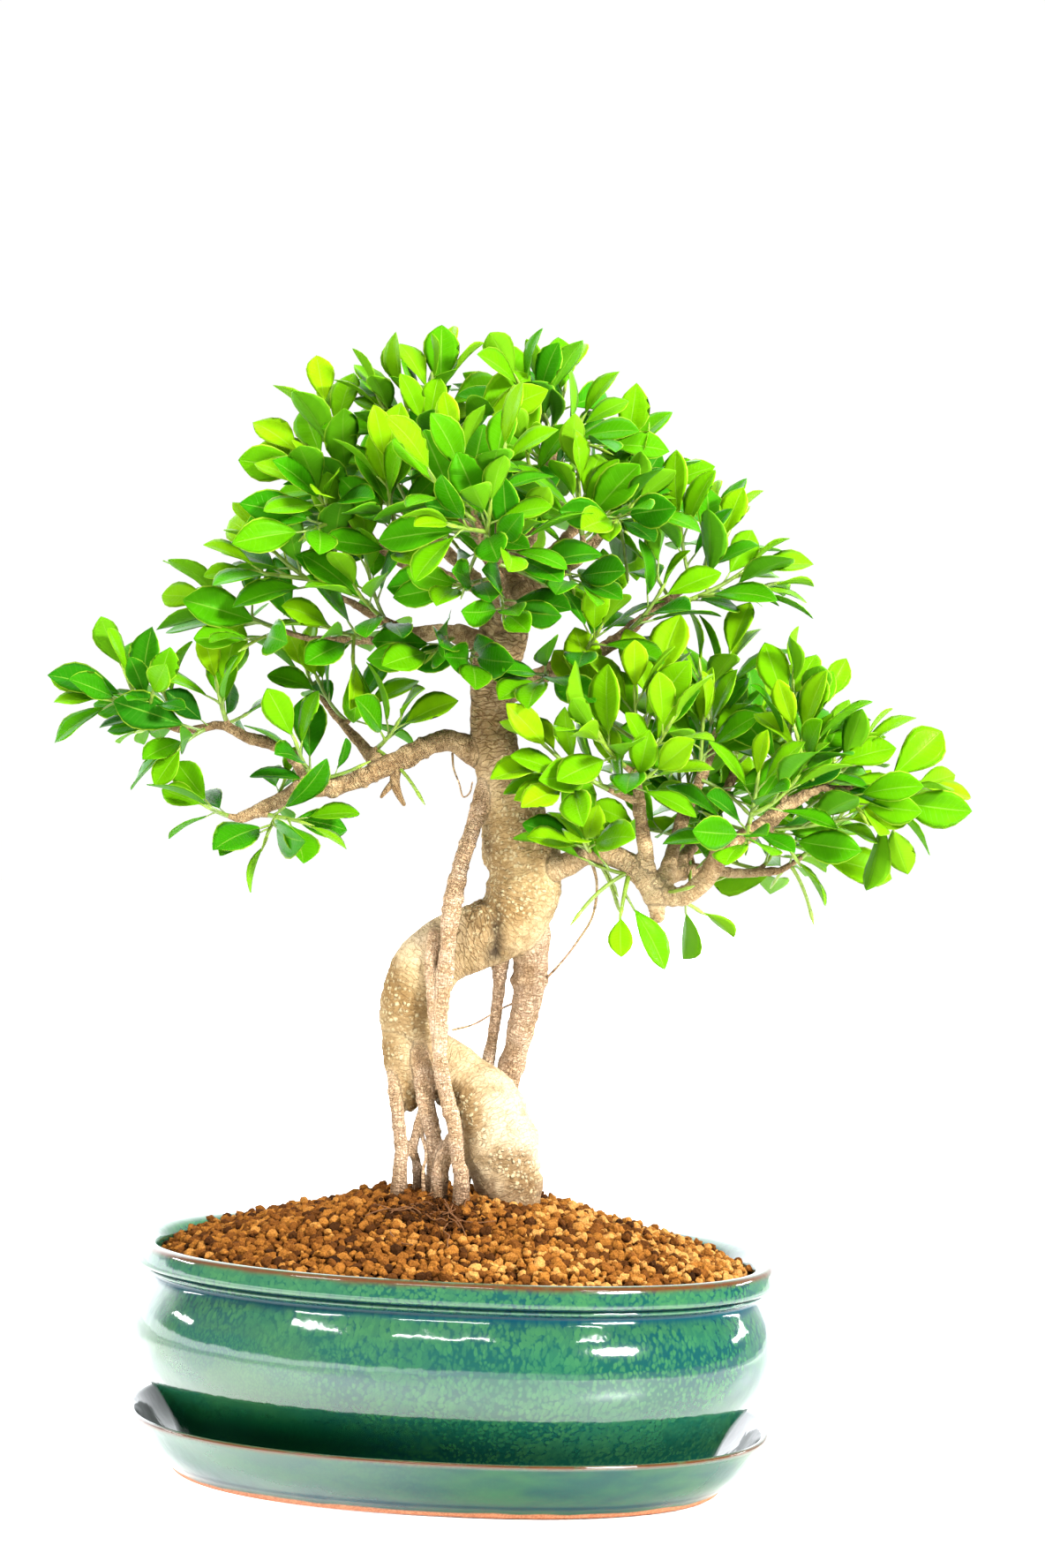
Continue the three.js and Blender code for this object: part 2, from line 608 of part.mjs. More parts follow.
// All the shoots first, because their twigs belong to the wood
const sprays = [];
for (const [limb, rows] of Object.entries(SPRAYS)) {
  rows.forEach(([along, tip, sideTip], row) => {
    const [x, y, z, r] = alongLimb(LIMBS[limb], along);
    const main = mainShoot([x, y, z], r, tip);
    const shoots = sideTip ? [main, sideShoot(main, sideTip)] : [main];
    const stems = wasm.Manifold.union(shoots.map((shoot) => tube(shoot.stem, TWIG_SIDES)));
    woodBodies.push(tube(main.twig, TWIG_SIDES));
    sprays.push({ name: "spray_" + limb + "_" + (row + 1), shoots, stems });
  });
}
const wood = wasm.Manifold.union(woodBodies);

// Leaves in turn, each where it is clear of the wood, the other stems and the leaves before it
const standing = [boxed(wood), ...sprays.map((spray) => boxed(spray.stems))];
sprays.forEach((spray, number) => {
  const others = standing.filter((item, k) => k !== number + 1);
  const own = [];
  for (const shoot of spray.shoots) {
    const room = Math.round((shoot.reach * (1 - shoot.split)) / LEAF_SPACING);
    const count = THREE.MathUtils.clamp(room, LEAST_LEAVES, MOST_LEAVES);
    const phase = 360 * draw();
    const plans = [...Array(count).keys()].map((i) => leafPlan(shoot, i, count, phase));
    for (const plan of LEAVES_KEPT.filter((i) => i < count).map((i) => plans[i])) {
      for (const swing of SWINGS) {
        const leaf = leafBody(leafFrame(shoot.curve, plan, swing), plan.size);
        if (isClear(leaf, others) && isClear(leaf, own)) {
          own.push(boxed(leaf));
          break;
        }
      }
    }
  }
  standing.push(...own);
  spray.body = wasm.Manifold.union([spray.stems, ...own.map((leaf) => leaf.body)]);
});

addPiece("saucer", buildSaucer(), MATERIALS.glaze);
addPiece("pot", buildPot(), MATERIALS.glaze);
addPiece("drain_screen_left", buildScreen(-DRAIN_X), MATERIALS.mesh);
addPiece("drain_screen_right", buildScreen(DRAIN_X), MATERIALS.mesh);
addPiece("soil", buildSoil(), MATERIALS.soil);
addPiece("wood", wood, MATERIALS.bark);
for (const spray of sprays) {
  addPiece(spray.name, spray.body, MATERIALS.leaf);
}

export default group;
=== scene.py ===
"""Ficus bonsai in its glazed oval pot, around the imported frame. Millimetres here, metres in the scene."""
import math
from itertools import product

import bmesh
import bpy
import numpy as np
from mathutils import Matrix, Vector
from mathutils.bvhtree import BVHTree
from mathutils.kdtree import KDTree


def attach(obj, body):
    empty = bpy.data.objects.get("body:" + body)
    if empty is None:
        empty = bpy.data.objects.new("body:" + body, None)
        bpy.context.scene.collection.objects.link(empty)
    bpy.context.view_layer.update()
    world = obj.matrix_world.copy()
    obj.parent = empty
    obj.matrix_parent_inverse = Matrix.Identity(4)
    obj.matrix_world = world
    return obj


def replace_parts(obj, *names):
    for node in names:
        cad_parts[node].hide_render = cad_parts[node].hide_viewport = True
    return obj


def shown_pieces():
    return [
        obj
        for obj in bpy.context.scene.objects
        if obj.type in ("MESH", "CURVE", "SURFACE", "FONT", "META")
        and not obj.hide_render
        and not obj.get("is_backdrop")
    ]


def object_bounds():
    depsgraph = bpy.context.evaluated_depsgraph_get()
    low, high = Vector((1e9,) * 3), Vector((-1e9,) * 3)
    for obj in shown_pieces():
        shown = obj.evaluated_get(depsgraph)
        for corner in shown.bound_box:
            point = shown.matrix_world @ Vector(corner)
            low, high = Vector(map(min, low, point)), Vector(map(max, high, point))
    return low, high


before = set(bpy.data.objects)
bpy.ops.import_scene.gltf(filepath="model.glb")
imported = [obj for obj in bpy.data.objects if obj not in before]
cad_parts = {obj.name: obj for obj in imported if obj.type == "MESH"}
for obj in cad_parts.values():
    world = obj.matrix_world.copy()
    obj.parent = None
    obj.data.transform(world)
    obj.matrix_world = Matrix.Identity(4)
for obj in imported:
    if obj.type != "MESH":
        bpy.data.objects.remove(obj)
cad_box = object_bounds()
rng = np.random.default_rng(41)

MM = 0.001
ROOT_END = 97  # the roots end at this height inside the soil
OVAL_POWER = 2.27
LENGTH_LESS_WIDTH = 72.6
OVAL_INNER = 110

# Grown wood: each limb or root as stations of [x, y, z, radius], the same as the solids'
TRUNK = [
    [3, 4, 458, 2.9], [7, 4, 438, 4.6], [10, 3, 419, 7], [9, 0, 398, 10.3], [5, 0, 378, 12],
    [4, 0, 357, 9.9], [7, 0, 338, 11.1], [14, 0, 318, 14.9], [20, 0, 298, 17.8], [23, 0, 277, 17.6],
    [17, 0, 259, 16.5], [2, 0, 251, 14.9], [-14, 0, 243, 14.5], [-24, 0, 229, 14.5], [-27, 1, 211, 13.5],
    [-20, 3, 196, 12], [-6, 3, 186, 14], [8, 0, 173, 17], [18, -2, 153, 18.8], [23, -2, 139, 16.5],
    [24, -2, 135, 14.8], [24, -2, ROOT_END, 14.5],
]
ROOTS = {
    "column_foot": [[-27, 2, 217, 12.5], [-28, 0, 198, 11], [-27, -2, 183, 8], [-25, -4, 170, 4]],
    "right_leg": [
        [26, 4, 268, 11], [28, 8, 246, 8.5], [28, 12, 225, 7.8], [24, 20, 201, 6.6], [20, 28, 181, 6.1],
        [17, 33, 153, 5.9], [16, 33, 138, 6], [16, 33, ROOT_END, 6],
    ],
    "middle_leg": [
        [13, 8, 249, 6], [14, 14, 232, 3.2], [13, 20, 213, 2.9], [11, 26, 195, 2.9], [6, 30, 165, 3],
        [2, 31, 138, 3], [2, 31, ROOT_END, 3],
    ],
    "front_root": [
        [6, -4, 325, 6.5], [0, -11, 307, 4.4], [-4, -15, 293, 3.9], [-8, -18, 276, 4.3], [-10, -20, 258, 4.1],
        [-11, -20, 237, 3.5], [-12, -20, 215, 3.3], [-12, -19, 199, 3.5], [-9, -20, 182, 3.4],
        [-4, -23, 166, 3.5], [-1, -25, 149, 3.5], [1, -25, 138, 3.7], [1, -25, ROOT_END, 3.7],
    ],
    "side_strand": [[-17, -11, 252, 3.4], [-18, -17, 235, 2.6], [-16, -19, 217, 2.5], [-13, -19, 199, 2.6]],
    "left_root": [
        [-30, -2, 192, 5.5], [-32, -6, 180, 3.7], [-30, -8, 166, 3], [-28, -9, 152, 3], [-28, -10, 141, 3.6],
        [-28, -10, 134, 4], [-28, -10, ROOT_END, 4],
    ],
    "cluster": [
        [-24, -4, 199, 6.5], [-19, -9, 187, 5], [-17, -12, 173, 4.4], [-13, -12, 158, 3.6],
        [-12, -10, 142, 3.7], [-12, -9, 136, 3.7], [-12, -9, ROOT_END, 3.7],
    ],
    "cluster_left": [
        [-17, -11, 173, 3.4], [-21, -10, 159, 2.4], [-22, -8, 150, 2], [-20, -4, 139, 2.2],
        [-20, -4, ROOT_END, 2.2],
    ],
    "yellow_root": [
        [2, -8, 168, 4.5], [-4, -12, 156, 3.8], [-8, -15, 146, 4.2], [-9, -17, 137, 4.3],
        [-9, -17, ROOT_END, 4.3],
    ],
    "hair_root": [
        [53, -16, 292, 1.6], [57, -12, 279, 1], [56, -8, 264, 1], [50, -4, 252, 1], [42, 3, 240, 1],
        [32, 10, 228, 1.3],
    ],
}
LIMBS = {
    "left_limb": [
        [7, 0, 333, 8.5], [-6, -2, 339, 6], [-16, -4, 342, 5], [-28, -6, 337, 4.9], [-40, -8, 330, 4.9],
        [-54, -10, 323, 4.6], [-67, -10, 318, 4.5], [-80, -10, 317, 4.6], [-89, -12, 312, 3.8],
        [-98, -14, 307, 3.3], [-110, -15, 301, 2.8],
    ],
    "left_upper": [
        [-78, -10, 318, 4], [-85, -8, 329, 3.2], [-96, -6, 336, 2.9], [-109, -4, 339, 2.5],
        [-122, -2, 344, 2.1], [-138, 0, 341, 1.8], [-153, 0, 344, 1.6],
    ],
    "left_back": [[-46, -7, 328, 4.1], [-56, 8, 338, 2.6], [-68, 18, 350, 2.1], [-79, 24, 362, 1.7]],
    "right_limb": [
        [28, -3, 284, 9], [42, -12, 287, 6], [54, -20, 293, 5], [67, -26, 291, 5.3], [77, -30, 284, 5.7],
        [84, -32, 275, 6.1],
    ],
    "right_stub": [[83, -32, 279, 5.3], [85, -33, 265, 3.4]],
    "right_front": [
        [84, -32, 276, 5], [97, -34, 276, 4.6], [106, -34, 284, 4.4], [112, -34, 295, 4.4],
        [121, -32, 303, 4], [133, -30, 311, 3.6], [145, -28, 321, 2.8], [157, -26, 328, 2],
    ],
    "right_back": [
        [80, -29, 281, 4.7], [93, -14, 285, 3.4], [108, 6, 287, 2.9], [126, 20, 286, 2.4],
        [145, 28, 288, 1.8],
    ],
    "right_rise": [
        [80, -30, 281, 4.9], [78, -32, 295, 3.6], [75, -34, 311, 3.2], [73, -34, 327, 2.6],
        [73, -32, 341, 1.8],
    ],
    "right_mid": [
        [87, -31, 278, 4.2], [91, -20, 295, 3.3], [96, -10, 312, 2.9], [104, -2, 331, 2.5],
        [110, 6, 348, 1.9],
    ],
    "right_far_back": [[91, -16, 285, 3.3], [104, 16, 301, 2.9], [115, 34, 318, 2.5], [123, 46, 336, 1.9]],
    "crown_right": [
        [9, 0, 366, 7], [23, -6, 372, 5], [37, -10, 380, 4.1], [50, -12, 385, 3.5], [62, -12, 393, 2.9],
        [75, -10, 405, 2.3], [89, -6, 416, 1.9],
    ],
    "crown_left": [
        [6, 0, 384, 7], [-8, -8, 390, 4.6], [-21, -14, 392, 3.5], [-35, -18, 391, 2.7],
        [-49, -20, 396, 2.1], [-62, -20, 403, 1.8],
    ],
    "crown_left_low": [
        [-19, -14, 392, 3.2], [-39, -12, 387, 2.2], [-62, -10, 386, 1.8], [-82, -8, 386, 1.6],
    ],
    "crown_left_high": [
        [10, 2, 409, 6], [-5, -6, 414, 4], [-22, -12, 418, 3.1], [-38, -18, 422, 2.7],
        [-53, -22, 431, 2.2], [-68, -22, 439, 1.8],
    ],
    "crown_front": [
        [9, -2, 398, 6.5], [7, -22, 409, 4.1], [4, -36, 418, 3.2], [-1, -48, 426, 2.4],
        [-4, -54, 437, 1.8],
    ],
    "crown_up_left": [
        [9, 4, 421, 5], [-2, 0, 435, 3.7], [-15, -4, 449, 3.1], [-24, -6, 462, 2.5], [-29, -8, 478, 1.8],
    ],
    "crown_up_right": [
        [10, 4, 426, 4.6], [18, 2, 440, 3.5], [22, 2, 455, 2.9], [26, 2, 470, 2.3], [28, 2, 484, 1.7],
    ],
    "crown_mid_right": [
        [10, 0, 409, 5.6], [23, -8, 417, 3.9], [35, -14, 424, 3.3], [46, -18, 434, 2.7], [56, -18, 447, 2],
    ],
    "crown_back_left": [
        [9, 4, 401, 5.6], [-1, 24, 414, 4], [-15, 38, 427, 3.2], [-31, 48, 442, 2.6], [-45, 54, 454, 1.9],
    ],
    "crown_back_right": [
        [11, 4, 405, 5.6], [18, 26, 419, 4], [28, 42, 433, 3.2], [39, 52, 447, 2.6], [52, 58, 459, 1.9],
    ],
}
SPRAYS = {
    "crown_up_left": [
        [1, [-32, -12, 532], [-20, 24, 535]],
        [0.75, [-56, 6, 526], [-73, -6, 516]],
        [0.5, [-43, -42, 504]],
    ],
    "crown_up_right": [
        [1, [10, 0, 531], [-2, -24, 521]],
        [0.75, [22, 34, 513], [52, 4, 507]],
        [0.5, [10, -50, 490]],
    ],
    "crown_left_high": [
        [0.8, [-90, 16, 516], [-108, 4, 476]],
        [1, [-93, -26, 467], [-76, -50, 450]],
        [0.6, [-54, -58, 486]],
    ],
    "crown_front": [
        [1, [-24, -62, 497]],
        [0.85, [2, -88, 456], [-29, -86, 437]],
        [0.6, [25, -76, 452]],
    ],
    "crown_mid_right": [
        [0.7, [36, -34, 489]],
        [1, [72, -22, 459], [54, -58, 439]],
    ],
    "crown_back_left": [
        [0.8, [-36, 66, 501], [-18, 96, 452]],
        [1, [-70, 72, 470], [-97, 56, 437]],
    ],
    "crown_back_right": [
        [0.8, [9, 70, 499], [18, 100, 450]],
        [1, [56, 86, 488], [76, 68, 433]],
    ],
    "crown_left": [
        [1, [-126, -8, 443], [-129, -24, 417]],
        [0.7, [-72, -60, 417]],
    ],
    "crown_left_low": [
        [1, [-153, 6, 414], [-128, 20, 389]],
        [0.5, [-91, -28, 394], [-60, -30, 371]],
    ],
    "crown_right": [
        [1, [126, 4, 464], [108, 30, 466]],
        [0.85, [143, -8, 440], [154, 14, 427]],
        [0.65, [95, -34, 433]],
        [0.4, [60, -44, 405]],
    ],
    "left_upper": [
        [1, [-181, -4, 386], [-186, -12, 354]],
        [0.85, [-161, 16, 376]],
        [0.6, [-130, -14, 379]],
        [0.7, [-148, -22, 327]],
    ],
    "left_limb": [
        [1, [-138, -8, 309]],
        [0.95, [-59, -28, 298], [-100, -32, 284]],
        [0.65, [-95, -30, 353]],
    ],
    "left_back": [
        [1, [-89, 32, 378]],
        [0.6, [-52, 26, 361]],
        [0.2, [-27, -30, 361]],
    ],
    "right_rise": [
        [0.6, [8, -58, 352], [30, -66, 319]],
        [0.8, [38, -74, 359]],
        [1, [66, -52, 389]],
    ],
    "right_mid": [
        [1, [94, 0, 405], [122, 16, 407]],
        [0.7, [102, -34, 375]],
    ],
    "right_front": [
        [0.8, [144, -18, 404], [168, -14, 385]],
        [0.95, [194, -8, 363]],
        [1, [228, -14, 332], [201, -10, 302]],
        [0.6, [130, -58, 352], [158, -52, 341]],
        [0.7, [159, -30, 285]],
    ],
    "right_back": [
        [1, [193, 44, 335], [174, 40, 368]],
        [0.85, [153, 52, 312]],
        [0.4, [91, 60, 364]],
    ],
    "right_far_back": [
        [1, [121, 66, 370], [151, 52, 384]],
        [0.5, [75, 72, 347]],
    ],
    "right_limb": [
        [0.7, [64, -62, 250]],
        [0.95, [124, -2, 262]],
        [0.4, [46, -60, 302]],
    ],
}
HAIRS = {
    "cross_hair": [[-7, 10, 206, 0.6], [3, 14, 209, 0.5], [14, 14, 216, 0.5], [25, 13, 222, 0.6]],
    "loop_hair": [[-13, -3, 336, 0.6], [-12, -7, 329, 0.45], [-9, -9, 322, 0.4], [-7, -8, 316, 0.4],
                  [-4, -7, 318, 0.4], [-3, -6, 323, 0.35]],
    "dead_stub": [[-38, -8, 330, 2.2], [-39, -10, 322, 2.4], [-37, -11, 316, 1.7], [-34, -12, 311, 0.9]],
    "dead_stub_low": [[-39, -10, 322, 1.8], [-43, -10, 317, 1.3], [-45, -10, 314, 0.7]],
    "rootlet_left": [[-24, -8, 152, 1.3], [-21, -7, 146, 0.9], [-17, -8, 141, 0.8], [-15, -9, 130, 0.8]],
    "rootlet_mid": [[-19, -11, 160, 1.2], [-16, -14, 150, 0.8], [-17, -16, 142, 0.8], [-16, -17, 130, 0.9]],
}


# Noise
def lattice(cell, seed):
    """A value from 0 to 1 for each whole-numbered cell."""
    c = (cell & 0xFFFFFFFF).astype(np.uint32)
    h = c[..., 0] * np.uint32(374761393) + c[..., 1] * np.uint32(668265263)
    h = h + c[..., 2] * np.uint32(3266489917) + np.uint32((seed * 2654435761) & 0xFFFFFFFF)
    h = (h ^ (h >> np.uint32(13))) * np.uint32(1274126177)
    h = h ^ (h >> np.uint32(16))
    return h / 4294967295.0


def noise(p, seed=0):
    """Smooth noise from -1 to 1 at points of an (n, 3) array."""
    cell = np.floor(p).astype(np.int64)
    f = p - cell
    f = f * f * (3 - 2 * f)
    total = np.zeros(len(p))
    for corner in product((0, 1), repeat=3):
        weight = np.prod(np.where(corner, f, 1 - f), axis=1)
        total += weight * lattice(cell + np.array(corner), seed)
    return 2 * total - 1


def pebbles(p, seed=0):
    """Distance to the nearest of the points scattered one in each cell."""
    cell = np.floor(p).astype(np.int64)
    best = np.full(len(p), 9.0)
    for corner in product((-1, 0, 1), repeat=3):
        there = cell + np.array(corner)
        spot = there + 0.5 + 0.8 * (np.stack([lattice(there, seed + k) for k in range(3)], axis=1) - 0.5)
        best = np.minimum(best, np.linalg.norm(spot - p, axis=1))
    return best


def smoothstep(low, high, x):
    """0 at low and 1 at high, with a soft start and end."""
    t = np.clip((x - low) / (high - low), 0, 1)
    return t * t * (3 - 2 * t)


# Meshes
def add_mesh(name, co, faces, slot, materials, attributes=(), face_material=None, smooth=True):
    """A mesh of points in millimetres as a piece that rides on the root."""
    mesh = bpy.data.meshes.new(name)
    mesh.from_pydata((np.asarray(co) * MM).tolist(), [], faces)
    mesh.polygons.foreach_set("use_smooth", [smooth] * len(mesh.polygons))
    for key, values in dict(attributes).items():
        values = np.asarray(values, dtype=np.float32)
        kind = "FLOAT" if values.ndim == 1 else "FLOAT_VECTOR"
        layer = mesh.attributes.new(key, kind, "POINT")
        layer.data.foreach_set("value" if values.ndim == 1 else "vector", values.ravel())
    for material in materials:
        mesh.materials.append(material)
    if face_material is not None:
        mesh.polygons.foreach_set("material_index", np.asarray(face_material, dtype=np.int32))
    mesh.update()
    obj = bpy.data.objects.new(name, mesh)
    bpy.context.scene.collection.objects.link(obj)
    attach(obj, "root")
    return obj


def smooth_path(stations, step):
    """Points with radius along a smooth curve through the stations, about a step apart."""
    p = np.array(stations, dtype=float)
    padded = np.vstack([2 * p[0] - p[1], p, 2 * p[-1] - p[-2]])
    out = []
    for k in range(len(p) - 1):
        a, b, c, d = padded[k : k + 4]
        count = max(2, int(np.ceil(np.linalg.norm(c[:3] - b[:3]) / step)))
        for t in np.arange(count) / count:
            out.append(0.5 * (2 * b + (c - a) * t + (2 * a - 5 * b + 4 * c - d) * t**2
                              + (3 * b - a - 3 * c + d) * t**3))
    out.append(p[-1])
    out = np.array(out)
    out[:, 3] = np.maximum(out[:, 3], 0.3)
    return out


def run_along(path):
    """How far along the path each point lies."""
    return np.concatenate([[0], np.cumsum(np.linalg.norm(np.diff(path[:, :3], axis=0), axis=1))])


def frames_along(path):
    """Tangent, side and up at every point of a path, without twist."""
    tangent = np.gradient(path[:, :3], axis=0)
    tangent /= np.linalg.norm(tangent, axis=1)[:, None]
    side = np.array([0.0, 1, 0]) if abs(tangent[0, 0]) > 0.8 else np.array([1.0, 0, 0])
    sides = np.empty_like(tangent)
    for k, t in enumerate(tangent):
        side = side - side.dot(t) * t
        side /= np.linalg.norm(side)
        sides[k] = side
    return tangent, sides, np.cross(tangent, sides)


def ring_faces(rings, sides):
    """Faces between rings of points, and to the two end points that follow them."""
    faces = []
    for j in range(rings - 1):
        for k in range(sides):
            a, b = j * sides + k, j * sides + (k + 1) % sides
            faces.append((a, b, b + sides, a + sides))
    last, foot, head = (rings - 1) * sides, rings * sides, rings * sides + 1
    for k in range(sides):
        faces.append((foot, (k + 1) % sides, k))
        faces.append((head, last + k, last + (k + 1) % sides))
    return faces


def sweep(path, sides, flute=0.0, phase=0.0):
    """A closed round-ended tube along a path: points and faces."""
    tangent, side, up = frames_along(path)
    turn = np.linspace(0, 2 * np.pi, sides, endpoint=False)
    run = run_along(path)

    def ring(k, radius, shift):
        wave = 1 + flute * (np.sin(2 * turn + run[k] * 0.03 + phase) + 0.6 * np.sin(3 * turn - run[k] * 0.05))
        spoke = np.cos(turn)[:, None] * side[k] + np.sin(turn)[:, None] * up[k]
        return path[k, :3] + shift * tangent[k] + spoke * (radius * wave)[:, None]

    r0, r1 = path[0, 3], path[-1, 3]
    rings = [ring(0, r0 * 0.6, -r0 * 0.5)]
    rings += [ring(k, path[k, 3], 0) for k in range(len(path))]
    rings.append(ring(-1, r1 * 0.6, r1 * 0.5))
    points = np.vstack([*rings, path[0, :3] - tangent[0] * r0 * 0.7, path[-1, :3] + tangent[-1] * r1 * 0.7])
    return points, ring_faces(len(rings), sides)


def joined(parts):
    """Several (points, faces) as one."""
    points, faces, base = [], [], 0
    for co, f in parts:
        points.append(co)
        faces += [tuple(i + base for i in face) for face in f]
        base += len(co)
    return np.vstack(points), faces


# Ovals
def oval_points(a, theta):
    """Points of the oval of half length a."""
    half_width = a - (LENGTH_LESS_WIDTH / 2) * np.minimum(1, a / OVAL_INNER)
    shaped = lambda v: np.sign(v) * np.abs(v) ** (2 / OVAL_POWER)
    return a * shaped(np.cos(theta)), half_width * shaped(np.sin(theta))


def half_length_at(x, y):
    """Half length of the oval that passes through each point."""
    low, high = np.zeros(len(x)), np.full(len(x), 400.0)
    for _ in range(40):
        a = np.maximum((low + high) / 2, 1e-6)
        b = a - (LENGTH_LESS_WIDTH / 2) * np.minimum(1, a / OVAL_INNER)
        outside = np.abs(x / a) ** OVAL_POWER + np.abs(y / b) ** OVAL_POWER > 1
        low, high = np.where(outside, a, low), np.where(outside, high, a)
    return (low + high) / 2


def rounded(profile, rounds):
    """A profile with its corners cut, ends kept."""
    p = np.array(profile, dtype=float)
    for _ in range(rounds):
        near, far = 0.75 * p[:-1] + 0.25 * p[1:], 0.25 * p[:-1] + 0.75 * p[1:]
        middle = np.stack([near, far], axis=1).reshape(-1, 2)[1:-1]
        p = np.vstack([p[:1], middle, p[-1:]])
    return p


def oval_shell(profile, segments):
    """An oval body from a profile that starts and ends on the axis: points and faces."""
    theta = np.linspace(0, 2 * np.pi, segments, endpoint=False)
    inner = profile[1:-1]
    rows = []
    for a, z in inner:
        x, y = oval_points(np.full(segments, a), theta)
        rows.append(np.stack([x, y, np.full(segments, z)], axis=1))
    points = np.vstack(rows + [[[0, 0, profile[0][1]]], [[0, 0, profile[-1][1]]]])
    return points, ring_faces(len(inner), segments)


# Materials
class Nodes:
    """Short calls for building the nodes of a material, or of the world."""

    def __init__(self, name, world=None):
        self.owner = world or bpy.data.materials.new(name)
        self.owner.use_nodes = True
        self.tree = self.owner.node_tree
        self.shader = self.tree.nodes.get("Principled BSDF")

    def add(self, kind, inputs=(), **settings):
        node = self.tree.nodes.new(kind)
        for key, value in settings.items():
            setattr(node, key, value)
        for key, value in dict(inputs).items():
            self.put(node, key, value)
        return node

    def put(self, node, key, value):
        """Sets an input, or links it when the value is another node's output."""
        if isinstance(value, bpy.types.NodeSocket):
            self.tree.links.new(value, node.inputs[key])
        else:
            node.inputs[key].default_value = value

    def attribute(self, name, part="Fac"):
        return self.add("ShaderNodeAttribute", attribute_name=name).outputs[part]

    def math(self, operation, a, b=0.0, c=0.0):
        return self.add("ShaderNodeMath", {0: a, 1: b, 2: c}, operation=operation).outputs[0]

    def times(self, a, b):
        return self.math("MULTIPLY", a, b)

    def plus(self, a, b):
        return self.math("ADD", a, b)

    def minus(self, a, b):
        return self.math("SUBTRACT", a, b)

    def ramp(self, value, low, high, out_low=0.0, out_high=1.0):
        """A smooth step from out_low to out_high."""
        node = self.add("ShaderNodeMapRange", interpolation_type="SMOOTHSTEP")
        for key, v in zip((0, 1, 2, 3, 4), (value, low, high, out_low, out_high)):
            self.put(node, key, v)
        return node.outputs[0]

    def mix(self, factor, a, b, blend="MIX"):
        node = self.add("ShaderNodeMix", data_type="RGBA", blend_type=blend)
        for key, v in ((0, factor), (6, a), (7, b)):
            if key and not isinstance(v, bpy.types.NodeSocket):
                v = (*v, 1.0)
            self.put(node, key, v)
        return node.outputs[2]

    def spectrum(self, value, stops):
        """A colour that changes from stop to stop, each a value and its colour."""
        node = self.add("ShaderNodeValToRGB", {0: value})
        elements = node.color_ramp.elements
        for k, (at, color) in enumerate(stops):
            element = elements[k] if k < 2 else elements.new(at)
            element.position, element.color = at, (*color, 1)
        return node.outputs[0]

    def place(self, scale=(1, 1, 1)):
        """The object's own coordinates, in metres, stretched."""
        where = self.add("ShaderNodeTexCoord").outputs["Object"]
        return self.add("ShaderNodeMapping", {"Vector": where, "Scale": scale}).outputs[0]

    def noise(self, vector, scale, detail=2.0, roughness=0.5, output=0):
        values = {"Vector": vector, "Scale": scale, "Detail": detail, "Roughness": roughness}
        return self.add("ShaderNodeTexNoise", values).outputs[output]

    def cells(self, vector, scale, feature="F1", output="Distance"):
        values = {"Vector": vector, "Scale": scale}
        return self.add("ShaderNodeTexVoronoi", values, feature=feature).outputs[output]

    def bump(self, height, distance, strength=1.0, under=None):
        node = self.add("ShaderNodeBump", {"Height": height, "Distance": distance, "Strength": strength})
        if under is not None:
            self.put(node, "Normal", under)
        return node.outputs[0]

    def finish(self, color, roughness, normal=None, **uniform):
        self.put(self.shader, "Base Color", color if isinstance(color, bpy.types.NodeSocket) else (*color, 1))
        self.put(self.shader, "Roughness", roughness)
        if normal is not None:
            self.put(self.shader, "Normal", normal)
        for key, value in uniform.items():
            self.shader.inputs[key.replace("_", " ")].default_value = value
        return self.owner


SPECKLES, FINE_SPECKLES = 520.0, 1050.0  # to a metre
SHOULDER, LIP_FOOT = 0.074, 0.094  # heights from which the speckles run down, and are round again, in metres


